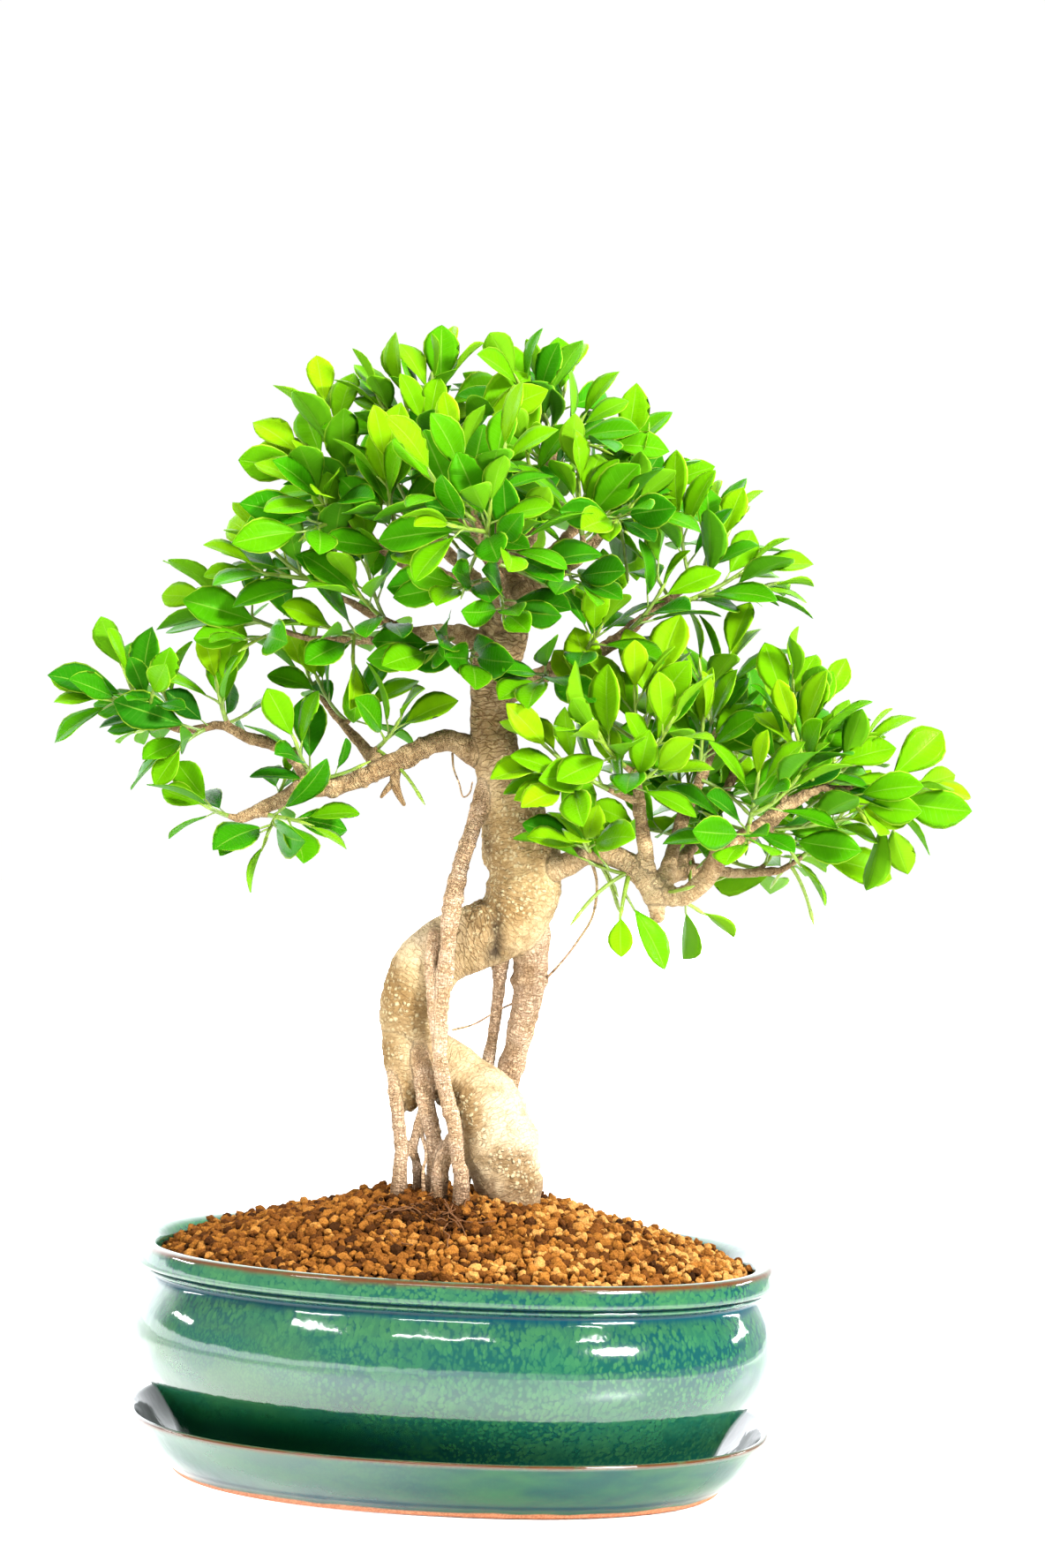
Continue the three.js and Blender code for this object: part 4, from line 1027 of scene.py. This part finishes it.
class Route:
    """A bend of three points."""

    def __init__(self, start, reached):
        start, reached = np.array(start, dtype=float), np.array(reached, dtype=float)
        share = max(1 - TIP_LEAF / np.linalg.norm(reached - start), 0.5)
        tip = mix(start, reached, share)
        bend = np.array([mix(start[0], tip[0], 0.6), mix(start[1], tip[1], 0.6), mix(start[2], tip[2], 0.35)])
        self.p = start, bend, tip
        self.reach = np.linalg.norm(tip - start)

    def point(self, t):
        a, b, c = self.p
        return (1 - t) ** 2 * a + 2 * (1 - t) * t * b + t * t * c

    def tangent(self, t):
        a, b, c = self.p
        d = (1 - t) * (b - a) + t * (c - b)
        return d / np.linalg.norm(d)


def along_limb(stations, share):
    """The place and radius at a share of the way along a limb's stations."""
    place = share * (len(stations) - 1)
    i = min(int(place), len(stations) - 2)
    return mix(np.array(stations[i], dtype=float), np.array(stations[i + 1], dtype=float), place - i)


def leaf_plan(split, i, count, phase):
    """Where leaf i of a shoot sits, counted from the tip, and how it opens."""
    young = 1 - i / count
    size = mix(0.86, 1.16, draw()) * mix(1, 0.72, young**2)
    twist = mix(-28, 28, draw())
    tilt = mix(-9, 9, draw())
    t = 0.995 if i == 0 else mix(split, 1, 1 - i / (count - 0.4))
    opening = 8 if i == 0 else mix(74, 24, young) + tilt
    return {"t": t, "size": size, "twist": twist, "opening": opening, "azimuth": phase + i * GOLDEN_ANGLE,
            "i": i, "young": young}


def turned(v, axis, degrees):
    """A vector turned about an axis."""
    return np.array(Matrix.Rotation(math.radians(degrees), 3, Vector(axis)) @ Vector(v))


def leaf_frame(route, plan, swing):
    """A leaf's origin, direction, side and normal."""
    tangent = route.tangent(plan["t"])
    across = np.cross([0, 0, 1], tangent)
    across = np.array([1.0, 0, 0]) if np.linalg.norm(across) < 0.05 else across / np.linalg.norm(across)
    over = np.cross(tangent, across)
    azimuth, opening = math.radians(plan["azimuth"] + swing), math.radians(plan["opening"])
    outward = across * math.cos(azimuth) + over * math.sin(azimuth)
    direction = tangent * math.cos(opening) + outward * math.sin(opening)
    normal = 0.55 * tangent + np.array(plan.get("light", (0, -0.12, 0.8)))
    if plan["opening"] <= 10:
        normal = normal + 0.6 * outward
    normal = normal - normal.dot(direction) * direction
    normal = turned(normal / np.linalg.norm(normal), direction, plan["twist"])
    return route.point(plan["t"]), direction, np.cross(direction, normal), normal


def leaf_tip(placed, size):
    """Where a leaf ends."""
    origin, direction, _, normal = placed
    length = LEAF_LENGTH * size
    return origin + direction * (PETIOLE * size + length) - normal * LEAF_ARCH * length


# A leaf's mesh: one grid for each face of the blade, joined along the margin, and a petiole
row_u = np.array([0.035, 0.11, 0.23, 0.38, 0.54, 0.69, 0.82, 0.915, 0.972])
OVATE = np.array([0.09, 0.30, 0.60, 0.87, 1.00, 0.93, 0.68, 0.36, 0.13])  # half widths at those places
OBOVATE = np.array([0.06, 0.20, 0.43, 0.71, 0.93, 1.00, 0.85, 0.50, 0.20])
BLADE_ROWS, BLADE_COLUMNS = len(row_u), 7
column_c = np.linspace(-1, 1, BLADE_COLUMNS)
top_index = np.arange(BLADE_ROWS * BLADE_COLUMNS).reshape(BLADE_ROWS, BLADE_COLUMNS) + 2
under_index = top_index.copy()
own_below = np.arange(BLADE_ROWS * (BLADE_COLUMNS - 2)).reshape(BLADE_ROWS, -1)
under_index[:, 1:-1] = own_below + top_index.max() + 1
BLADE_FACES, BLADE_FACE_SIDE = [], []
for grid, flip in ((top_index, False), (under_index, True)):
    found = []
    for c in range(BLADE_COLUMNS - 1):
        found.append((0, grid[0, c + 1], grid[0, c]))
        found.append((1, grid[-1, c], grid[-1, c + 1]))
        for r in range(BLADE_ROWS - 1):
            found.append((grid[r, c], grid[r, c + 1], grid[r + 1, c + 1], grid[r + 1, c]))
    for face in found:
        BLADE_FACES.append(tuple(int(i) for i in (face[::-1] if flip else face)))
        BLADE_FACE_SIDE.append(int(flip))


def blade_points(placed, size, look):
    """The blade's points in place, with (across, along) for each."""
    origin, direction, side, normal = placed
    length = LEAF_LENGTH * size
    u, c = np.meshgrid(row_u, column_c, indexing="ij")
    outline = mix(OVATE, OBOVATE, look["belly"])
    half = length * LEAF_WIDTH / 2 * look["wide"] * np.repeat(outline[:, None], BLADE_COLUMNS, axis=1)
    lift = np.abs(c) * half * math.tan(math.radians(look["fold"])) * (1 - 0.4 * u)
    wave = np.sin(2 * np.pi * (look["waves"] * u + 0.3 * c) + look["phase"])
    lift = lift + look["wave"] * wave * np.abs(c) ** 2

    def arch(v):
        return -LEAF_ARCH * length * v**2 * look["arch"] - look["curl"] * length * v**4

    thick = look["thick"] / 2 * np.sqrt(np.clip(1 - c**2, 0, 1))
    sway = look["sway"] * length * u**2

    def place(run, across, up):
        run, across, up = (np.asarray(v, dtype=float).ravel()[:, None] for v in (run, across, up))
        return origin + direction * run + side * across + normal * up

    petiole = PETIOLE * size
    ends = place([petiole, petiole + length], [0, look["sway"] * length], [0, arch(1.0)])
    top = place(petiole + u * length, c * half + sway, arch(u) + lift + thick - 0.14 * (c == 0))
    keel = 0.42 * (1 - 0.75 * u) * (c == 0)
    under = place(petiole + u * length, c * half + sway, arch(u) + lift - thick - keel)
    inside = (np.abs(c) < 1).ravel()
    points = np.vstack([ends, top, under[inside]])
    marks = np.stack([c.ravel(), u.ravel(), 0 * u.ravel()], axis=1)
    marks = np.vstack([[[0, 0, 0], [0, 1, 0]], marks, marks[inside]])
    return points, marks


def blade_tree(placed, size, look):
    """The blade as a few triangles, to tell whether leaves cross."""
    points, _ = blade_points(placed, size, look)
    rows = top_index[[1, 3, 5, 7]][:, [1, 3, 5]]
    faces = []
    for r in range(len(rows) - 1):
        for c in range(2):
            a, b, d, e = rows[r, c], rows[r, c + 1], rows[r + 1, c + 1], rows[r + 1, c]
            faces += [(a, b, d), (a, d, e)]
    centre = points[2:].mean(axis=0)
    return centre, BVHTree.FromPolygons(points.tolist(), [tuple(int(i) for i in f) for f in faces])


wood_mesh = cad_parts["wood"].data
wood_tree = BVHTree.FromPolygons([tuple(v.co / MM) for v in wood_mesh.vertices],
                                 [tuple(p.vertices) for p in wood_mesh.polygons])
placed_leaves = []  # centre and tree of every leaf so far
REACH = 34  # leaves whose centres are further apart than this can't cross
# Wood that shows between the leaf pads, as lowest and highest corners
BARE_WOOD = [((-12, -60, 150), (48, 30, 296)), ((-58, -60, 296), (2, 14, 350)),
             ((50, -70, 200), (150, 60, 298))]


def crosses(centre, tree):
    """True for a leaf that would cross wood or a leaf, or cover wood that shows."""
    if tree.overlap(wood_tree) or any(((centre > low) & (centre < high)).all() for low, high in BARE_WOOD):
        return True
    return any(np.linalg.norm(centre - other) < REACH and tree.overlap(other_tree)
               for other, other_tree in placed_leaves)


class Spray:
    """Gathers one leafy shoot's points, faces and marks."""

    def __init__(self):
        self.points, self.faces, self.sides = [], [], []
        self.marks, self.young, self.tone = [], [], []
        self.count = 0

    def take(self, points, faces, sides, marks, young, tone):
        self.faces += [tuple(i + self.count for i in f) for f in faces]
        self.sides += sides
        self.points.append(points)
        self.marks.append(marks)
        self.young.append(np.full(len(points), young))
        self.tone.append(np.full(len(points), tone))
        self.count += len(points)

    def stem(self, path, sides, young):
        points, faces = sweep(path, sides)
        self.take(points, faces, [2] * len(faces), np.zeros((len(points), 3)), young, 0.5)

    def leaf(self, placed, size, look):
        origin, direction, _, normal = placed
        run = PETIOLE * size
        stalk = np.array([[*(origin + direction * run * t + normal * s), r * size]
                          for t, s, r in ((0, 0, 0.95), (0.4, 0.22, 0.62), (1.2, -0.25, 0.45))])
        self.stem(stalk, 5, 0.35 + 0.5 * look["young"])
        points, marks = blade_points(placed, size, look)
        self.take(points, BLADE_FACES, BLADE_FACE_SIDE, marks, look["young"], look["tone"])


def new_look(young):
    """A leaf's own shape and colour."""
    return {
        "wide": rng.uniform(0.84, 1.03), "fold": rng.uniform(8, 24) + 5 * young,
        "wave": rng.uniform(0.1, 0.6), "belly": rng.uniform(0.0, 0.9), "waves": rng.uniform(0.8, 1.7),
        "phase": rng.uniform(0, 6.3), "arch": rng.uniform(0.75, 1.2), "curl": rng.uniform(0.0, 0.07),
        "thick": rng.uniform(0.34, 0.46), "sway": rng.uniform(-0.05, 0.05),
        "young": young, "tone": rng.uniform(0, 1),
    }


shoots_of = []
for limb, rows in SPRAYS.items():
    for row, (along, tip, *side_tip) in enumerate(rows):
        start = along_limb(LIMBS[limb], along)
        main = Route(start[:3], tip)
        split = 1 - min(max(SHOOT_LENGTH / main.reach, 0.3), 0.7)
        shoots = [(main, split)]
        if side_tip:
            fork = main.point(mix(split, 1, FORK))
            shoots.append((Route(fork, side_tip[0]), SIDE_BARE))
        shoots_of.append((f"spray_{limb}_{row + 1}", start[3], shoots))

low_corner, high_corner = (np.array(v) / MM for v in cad_box)
spray_pieces = []
leaf_total = 0


def add_leaf(spray, placed, size, look):
    """Adds a leaf to the spray and to what later leaves mustn't cross."""
    global leaf_total
    spray.leaf(placed, size, look)
    placed_leaves.append(blade_tree(placed, size, look))
    leaf_total += 1


def try_leaf(spray, route, plan, look, swings=SWINGS):
    """Adds the leaf turned the first way in which it crosses nothing."""
    plan = {**plan, "light": rng.normal(size=3) * 0.25 + [0, -0.5, 0.5], "opening": plan["opening"] * 0.7}
    for swing in swings:
        placed = leaf_frame(route, plan, swing)
        if placed[1][2] > -0.25 and not crosses(*blade_tree(placed, plan["size"], look)):
            add_leaf(spray, placed, plan["size"], look)
            return


def add_shoot(spray, route, since, vigour_and_painted_light, radius=1.2):
    """The green stem of a shoot with the pointed bud at its tip."""
    times = np.linspace(since, 1, 8)
    path = np.array([[*route.point(t), mix(radius, 0.8, (t - since) / (1 - since))] for t in times])
    spray.stem(path, 7, 0.55 + vigour_and_painted_light)
    bud = np.array([[*(route.point(1) + route.tangent(1) * d), r]
                    for d, r in ((-1, 0.8), (1.5, 1.0), (4.5, 0.7), (7.5, 0.25))])
    spray.stem(bud, 6, 1.0)


for name, _, shoots in shoots_of:
    spray = Spray()
    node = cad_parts[name]
    tips = KDTree(len(node.data.vertices))
    for k, v in enumerate(node.data.vertices):
        tips.insert(v.co / MM, k)
    tips.balance()
    # Random vigour, plus younger, lighter leaves on the right pad as painted light
    vigour_and_painted_light = rng.uniform(-0.16, 0.2) + (0.2 if "right" in name and "crown" not in name else 0)
    waiting = []
    for which, (route, split) in enumerate(shoots):
        add_shoot(spray, route, split if which == 0 else 0.0, vigour_and_painted_light)
        count = int(min(max(math.floor(route.reach * (1 - split) / 4.4 + 0.5), 5), 10))
        phase = 360 * draw()
        for plan in [leaf_plan(split, i, count, phase) for i in range(count)]:
            fresh = smoothstep(0.35, 1.0, plan["young"]) if plan["i"] else 1.0
            look = new_look(float(np.clip(0.28 + 0.55 * fresh + vigour_and_painted_light, 0, 1)))
            if plan["i"] not in LEAVES_KEPT:
                waiting.append((route, plan, look))
                continue
            for swing in SWINGS:
                placed = leaf_frame(route, plan, swing)
                if tips.find(leaf_tip(placed, plan["size"]) + placed[3] * LEAF_THICKNESS / 2)[2] < 0.05:
                    add_leaf(spray, placed, plan["size"], look)
                    break
    spray_pieces.append([name, spray, waiting, vigour_and_painted_light])

for _, spray, waiting, _ in spray_pieces:
    for route, plan, look in waiting:
        try_leaf(spray, route, plan, look)

# Short shoots low in the front of the crown, each from its limb to where its last leaf ends
FRONT_SHOOTS = {
    "spray_crown_front_1": [([4, -34, 417], [-30, -74, 402])],
    "spray_crown_front_2": [([6, -24, 410], [10, -76, 388])],
    "spray_crown_left_2": [([-12, -9, 391], [-36, -48, 370]), ([-4, -5, 388], [-10, -46, 362])],
    "spray_crown_right_4": [([30, -8, 376], [24, -56, 366])],
    "spray_crown_mid_right_2": [([36, -14, 424], [42, -66, 404])],
}


def add_full_shoot(spray, route, count, vigour_and_painted_light, small=1.0):
    """A shoot that the solids don't have, leaves all along it."""
    add_shoot(spray, route, 0.0, vigour_and_painted_light, 1.0)
    phase = rng.uniform(0, 360)
    for i in range(count):
        young = 1 - i / count
        at = 0.995 if i == 0 else mix(0.3, 1, 1 - i / (count - 0.4))
        plan = {"t": at, "size": rng.uniform(0.7, 1.05) * small, "twist": rng.uniform(-28, 28),
                "opening": 10 if i == 0 else mix(74, 30, young), "azimuth": phase + i * GOLDEN_ANGLE}
        try_leaf(spray, route, plan, new_look(float(np.clip(0.22 + 0.5 * young**2 + vigour_and_painted_light, 0, 1))))


for name, spray, _, vigour_and_painted_light in spray_pieces:
    for start, reached in FRONT_SHOOTS.get(name, ()):
        add_full_shoot(spray, Route(start, reached), 7, vigour_and_painted_light - 0.1)

# More short shoots and old inner leaves than the solids have, wherever there is room; the inner leaves' dark
# green is partly their age, partly painted shade inside the crown
SPARSE = ("spray_left", "spray_crown_left_low", "spray_crown_left_1", "spray_crown_right")
for (name, spray, _, vigour_and_painted_light), (_, _, shoots) in zip(spray_pieces, shoots_of):
    main, split = shoots[0]
    left = name.startswith("spray_left")
    dense = not name.startswith(SPARSE)
    for share in ((0.45, 0.8) if dense else (0.75,) if rng.random() < 0.6 else ()):
        start = main.point(split * share)
        best, most = None, 0
        for _ in range(14):
            aim = main.tangent(split * share) * 0.4 + rng.normal(size=3) * 0.6 + [0, -0.15, 0.6]
            reached = start + aim / np.linalg.norm(aim) * rng.uniform(44, 58)
            inside = ((reached > low_corner + 4) & (reached < high_corner - 4)).all()
            middle = mix(start, reached, 0.6)
            room = min(np.linalg.norm(middle - other[0]) for other in placed_leaves)
            if inside and room > most:
                best, most = reached, room
        if best is None or most < 9:
            continue
        add_full_shoot(spray, Route(start, best), int(rng.integers(4, 7)), vigour_and_painted_light, 0.75 if left else 1)
    # Inner leaves: old and dark green, partly painted shade
    for share in np.arange(0.4, 0.98, 9 / max(main.reach * split, 10)):
        plan = {"t": split * share, "size": rng.uniform(0.65, 1.0) * (0.8 if left else 1),
                "twist": rng.uniform(-28, 28), "opening": rng.uniform(50, 85), "azimuth": rng.uniform(0, 360)}
        if dense or rng.random() < 0.4:
            try_leaf(spray, main, plan, new_look(max(0.0, rng.uniform(0.0, 0.25) + 0.6 * vigour_and_painted_light)), SWINGS[:7])

for name, spray, _, _ in spray_pieces:
    marks = {"blade": np.vstack(spray.marks), "young": np.concatenate(spray.young),
             "tone": np.concatenate(spray.tone)}
    piece = add_mesh(name.replace("spray", "leaves"), np.vstack(spray.points), spray.faces, "leaf",
                     [leaf_top, leaf_under, shoot_green], marks, spray.sides)
    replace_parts(piece, name)

# Twigs and hair roots
twig_parts = []
for _, thickness, shoots in shoots_of:
    route, split = shoots[0]
    thick = min(thickness, 2.4)
    count = max(4, int(route.reach * split / 4))
    path = np.array([[*route.point(s * split), mix(thick, 1.7, s) * mix(0.9, 0.72, s)]
                     for s in np.linspace(0, 1, count)])
    twig_parts.append(sweep(smooth_path(path, 3), 7))
for stations in HAIRS.values():
    hair_parts.append(sweep(smooth_path(stations, 1.5), 8))
add_wood("wood_twigs", *joined(twig_parts + hair_parts))

# Soil: a bed, dark as painted shade in the gaps, under loose granules
SOIL_EDGE = [[109, 21.8], [118, 28], [135, 46], [138.5, 70], [134.8, 95], [136.4, 98]]
MOUND = [[136, 98], [127, 104], [110, 109.5], [88, 115.5], [64, 122], [42, 127.5], [20, 131], [0, 132]]
mound_a, mound_z = np.array(MOUND[::-1]).T


def mound_height(x, y):
    """Height of the soil at each place."""
    lumps = 1.2 * noise(np.column_stack([x / 17, y / 17, x * 0]), 31)
    return np.interp(half_length_at(x, y), mound_a, mound_z) + lumps


def wood_clear(x, y, z, radius):
    """True where a granule stands clear of the wood."""
    low = samples[(samples[:, 2] < 170) & (samples[:, 2] > 90)]
    away = np.linalg.norm(np.column_stack([x, y, z])[:, None] - low[None, :, :3], axis=2)
    return ((away - low[:, 3] - 0.55 * np.asarray(radius)[:, None]) > 0).all(axis=1)


BED_SEGMENTS, BED_BELOW = 160, 1.8  # the bed lies this far below the mound
bed_a = np.linspace(134, 4, 40)
bed_top = np.column_stack([bed_a, np.interp(bed_a, mound_a, mound_z) - BED_BELOW])
bed_profile = np.vstack([[[0, 21.8]], SOIL_EDGE, bed_top, [[0, 130.2]]])
bed_points, bed_faces = oval_shell(bed_profile, BED_SEGMENTS)
on_top = bed_points[:, 2] > 97
bed_points[on_top, 2] += 0.9 * noise(bed_points[on_top] / [3.1, 3.1, 9], 33)
# Painted shade: the bed is near black so the gaps between granules look shaded
shades = 0.10 + 0.08 * noise(bed_points / 4, 34)
bed = add_mesh("soil_bed", bed_points, bed_faces, "granules", [granule], {"shade": shades})
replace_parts(bed, "soil")

cells = {}
granules = []


def scatter(tries, low, high, crowd, rise):
    """Granules of one size class, dropped where there is room beside the ones before."""
    x = rng.uniform(-137, 137, tries)
    y = rng.uniform(-101, 101, tries)
    r = rng.uniform(low, high, tries)
    a = half_length_at(x, y)
    z = mound_height(x, y) + r * rise
    good = (a + r * 0.75 < 137.2) & wood_clear(x, y, z, r)
    for px, py, pz, pr in zip(x[good], y[good], z[good], r[good]):
        key = int(px // 8), int(py // 8)
        near = [g for i, j in product((-1, 0, 1), repeat=2) for g in cells.get((key[0] + i, key[1] + j), ())]
        if all((px - g[0]) ** 2 + (py - g[1]) ** 2 > (crowd * (pr + g[3])) ** 2 or abs(pz - g[2]) > pr + g[3]
               for g in near):
            found = (px, py, pz, pr)
            cells.setdefault(key, []).append(found)
            granules.append(found)


scatter(1500, 2.4, 3.1, 0.86, 0.0)
scatter(14000, 1.9, 2.4, 0.84, 0.05)
scatter(22000, 1.45, 1.9, 0.80, 0.15)
scatter(22000, 1.0, 1.45, 0.76, 0.35)
for px, py, pz, pr in granules[::15]:
    shift = rng.normal(0, 1.6, 2)
    r = rng.uniform(1.3, 2.3)
    granules.append((px + shift[0], py + shift[1], pz + pr * 0.55 + r * 0.62, r))


def ball(subdivisions):
    """A unit ball of 80 triangles with two subdivisions, or of 20 with one."""
    shape = bmesh.new()
    bmesh.ops.create_icosphere(shape, subdivisions=subdivisions, radius=1.0)
    co = np.array([v.co[:] for v in shape.verts])
    faces = [tuple(v.index for v in f.verts) for f in shape.faces]
    shape.free()
    return co, faces


round_ball, ball_faces = ball(2)


def granule_piece(name, chosen):
    """Granules as one piece: lumpy balls, each turned, stretched and given its own shade, with painted shade
    low on each ball and painted light towards the right.
    """
    parts, shade = [], []
    for px, py, pz, pr in chosen:
        shift = rng.uniform(0, 50, 3)
        co = round_ball * (1 + 0.34 * noise(round_ball * 1.3 + shift, 43)
                           + 0.26 * noise(round_ball * 3.4 + shift, 44))[:, None]
        stretch = rng.uniform(0.8, 1.22, 3)
        turn = np.array(Matrix.Rotation(rng.uniform(0, 6.28), 3, Vector(rng.normal(size=3)).normalized()))
        parts.append(((co * stretch) @ turn.T * pr * 1.04 + [px, py, pz], ball_faces))
        own = rng.beta(2.2, 1.7)
        if rng.random() < 0.07:
            own *= 0.3
        dark = math.exp(-(((px + 13) / 17) ** 2 + ((py + 36) / 16) ** 2))
        # Painted light: granules lighter towards the right
        own *= 0.90 + 0.44 * float(smoothstep(-60, 100, px))
        # Painted shade on the lower part of each granule
        painted_shade_below = 0.30 + 0.70 * smoothstep(-0.75, 0.35, (co @ turn.T)[:, 2])
        shade.append(own * (1 - 0.85 * dark * rng.random()) * painted_shade_below)
    marks = {"shade": np.concatenate(shade)}
    add_mesh(name, *joined(parts), "granules", [granule], marks, smooth=False)


granule_piece("soil_granules_left", [g for g in granules if g[0] < 0])
granule_piece("soil_granules_right", [g for g in granules if g[0] >= 0])

# Dark crumbs and fine dead roots beside the roots in front
CRUMBS_AT = (-12, -37)
crumb_ball, crumb_faces = ball(1)
crumbs = []
for px, py in rng.normal(CRUMBS_AT, (10, 8), (420, 2)):
    r = rng.uniform(0.5, 1.2)
    pz = mound_height(np.array([px]), np.array([py]))[0] + rng.uniform(1.0, 2.4)
    lumpy = crumb_ball * (1 + 0.3 * noise(crumb_ball * 1.6 + rng.uniform(0, 50, 3), 45))[:, None]
    crumbs.append((lumpy * rng.uniform(0.7, 1.3, 3) * r + [px, py, pz], crumb_faces))
shades = np.repeat(rng.uniform(0.0, 0.3, len(crumbs)), len(crumb_ball))
add_mesh("soil_crumbs", *joined(crumbs), "granules", [granule], {"shade": shades}, smooth=False)
fibres = []
for px, py in rng.normal(CRUMBS_AT, (9, 7), (16, 2)):
    heading, bend, length = rng.uniform(0, 2 * np.pi), rng.uniform(-1.4, 1.4), rng.uniform(10, 24)
    stations = []
    for t in np.linspace(0, 1, 5):
        x = px + length * t * math.cos(heading + bend * t)
        y = py + length * t * math.sin(heading + bend * t)
        z = mound_height(np.array([x]), np.array([y]))[0] + 2.2 + rng.uniform(0, 1.6)
        stations.append([x + rng.normal(0, 0.9), y + rng.normal(0, 0.9), z, mix(0.34, 0.3, t)])
    fibres.append(sweep(smooth_path(stations, 2), 5))
fibre_points, fibre_faces = joined(fibres)
add_mesh("soil_fibres", fibre_points, fibre_faces, "bark", [bark], {
    "tint": np.tile((0.12, 0.052, 0.020), (len(fibre_points), 1)), "grain": fibre_points,
    "marks": np.zeros((len(fibre_points), 3))})

# Floor, light and camera
bpy.ops.mesh.primitive_plane_add(size=14, location=(0, 0, -0.0002))
floor = bpy.context.object
floor.name = "floor"
# The floor glows there, painted light that the pot's glaze reflects
BRIGHT_AT = (-0.42, -0.12, 0.0)  # lit at the left of the pot, in metres, and again far away
n = Nodes("floor")
away = n.add("ShaderNodeVectorMath", {0: n.place(), 1: BRIGHT_AT}, operation="DISTANCE").outputs["Value"]
far = n.add("ShaderNodeVectorMath", {0: n.place()}, operation="LENGTH").outputs["Value"]
shining = n.plus(n.ramp(away, 0.46, 0.22, 0.0, 2.4), n.ramp(far, 0.9, 2.4, 0.0, 1.5))
n.put(n.shader, "Emission Strength", shining)
paper = n.mix(n.noise(n.place(), 40.0), (0.86, 0.855, 0.84), (0.88, 0.875, 0.86))
n.finish(paper, 0.3, Specular_IOR_Level=0.35, Emission_Color=(1.0, 1.0, 1.0, 1.0))
floor.data.materials.append(n.owner)
floor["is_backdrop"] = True

# The room: white to the camera, even as light. In gloss it is dark above the horizon on the camera's side
# and bright at the left
world = bpy.data.worlds.new("studio")
bpy.context.scene.world = world
n = Nodes("studio", world)
n.tree.nodes.clear()
split = n.add("ShaderNodeSeparateXYZ", {0: n.add("ShaderNodeTexCoord").outputs["Generated"]})
rightward, backward, upward = split.outputs
dark = n.times(n.ramp(upward, 0.085, 0.115), n.ramp(backward, 0.7, 0.2))
mirrored = n.times(n.math("MULTIPLY_ADD", dark, -0.91, 1.0), n.ramp(rightward, -0.75, 0.75, 5.6, 1.0))
seen = n.add("ShaderNodeBackground", {0: (1.0, 1.0, 0.985, 1), 1: 1.02}).outputs[0]
lit = n.add("ShaderNodeBackground", {0: (1.0, 1.0, 0.98, 1), 1: 0.68}).outputs[0]
shiny = n.add("ShaderNodeBackground", {0: (0.97, 1.0, 1.04, 1), 1: mirrored}).outputs[0]
ray = n.add("ShaderNodeLightPath").outputs
unseen = n.add("ShaderNodeMixShader", {0: ray["Is Glossy Ray"], 1: lit, 2: shiny}).outputs[0]
every = n.add("ShaderNodeMixShader", {0: ray["Is Camera Ray"], 1: unseen, 2: seen}).outputs[0]
n.add("ShaderNodeOutputWorld", {0: every})

LAMPS = [  # name, place, width, height, watts, seen in the glaze
    ("key_right", (1.23, -1.30, 1.01), 0.50, 0.26, 118, True),
    ("fill_left", (-0.96, -1.28, 1.42), 0.52, 0.20, 24, False),
    ("tube_left", (-0.96, -1.28, 1.40), 0.50, 0.04, 4, True),
    ("side_left", (-1.78, 0.20, 0.73), 0.50, 0.35, 28, False),
    ("window_left", (-1.78, 0.20, 0.66), 0.50, 0.10, 6, True),
    ("side_right", (1.64, 0.73, 0.64), 0.50, 0.35, 54, False),
    ("window_right", (1.64, 0.73, 0.56), 0.50, 0.09, 8, True),
    ("tube_front", (-0.06, -1.43, 1.30), 0.50, 0.03, 2.5, True),
    ("tube_right", (0.90, -1.15, 1.29), 0.28, 0.03, 1.5, True),
    ("overhead", (0.25, -0.25, 2.10), 1.20, 1.00, 68, False),
]
for name, place, width, height, watts, mirrored in LAMPS:
    light = bpy.data.lights.new(name, "AREA")
    light.shape = "ELLIPSE" if name == "key_right" else "RECTANGLE"
    light.size, light.size_y, light.energy = width, height, watts
    lamp = bpy.data.objects.new(name, light)
    lamp.location = place
    lamp.rotation_euler = (Vector((0, 0, 0.2)) - Vector(place)).to_track_quat("-Z", "Y").to_euler()
    lamp.visible_camera, lamp.visible_glossy = False, mirrored
    bpy.context.scene.collection.objects.link(lamp)

# The photo's camera: its place in metres, its focal length and picture height in photo pixels, its roll
EYE, FOCAL_PIXELS, PHOTO_HEIGHT, ROLL = (0.02036, -1.5, 0.3233), 3633.0, 1776, 0.048
lens = bpy.data.cameras.new("camera")
lens.sensor_width, lens.lens = 36.0, 36.0 * FOCAL_PIXELS / PHOTO_HEIGHT
camera = bpy.data.objects.new("camera", lens)
bpy.context.scene.collection.objects.link(camera)
c, s = math.cos(ROLL), math.sin(ROLL)
camera.matrix_world = Matrix(((c, -s, 0, EYE[0]), (0, 0, -1, EYE[1]), (s, c, 0, EYE[2]), (0, 0, 0, 1)))
bpy.context.scene.camera = camera
bpy.context.scene.view_settings.view_transform = "Standard"

triangles = {}
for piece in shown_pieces():
    if piece.type == "MESH":
        triangles[piece.name] = sum(len(p.vertices) - 2 for p in piece.data.polygons)
print("leaves", leaf_total, "granules", len(granules), "triangles", sum(triangles.values()),
      sorted(triangles.items(), key=lambda item: -item[1])[:6])
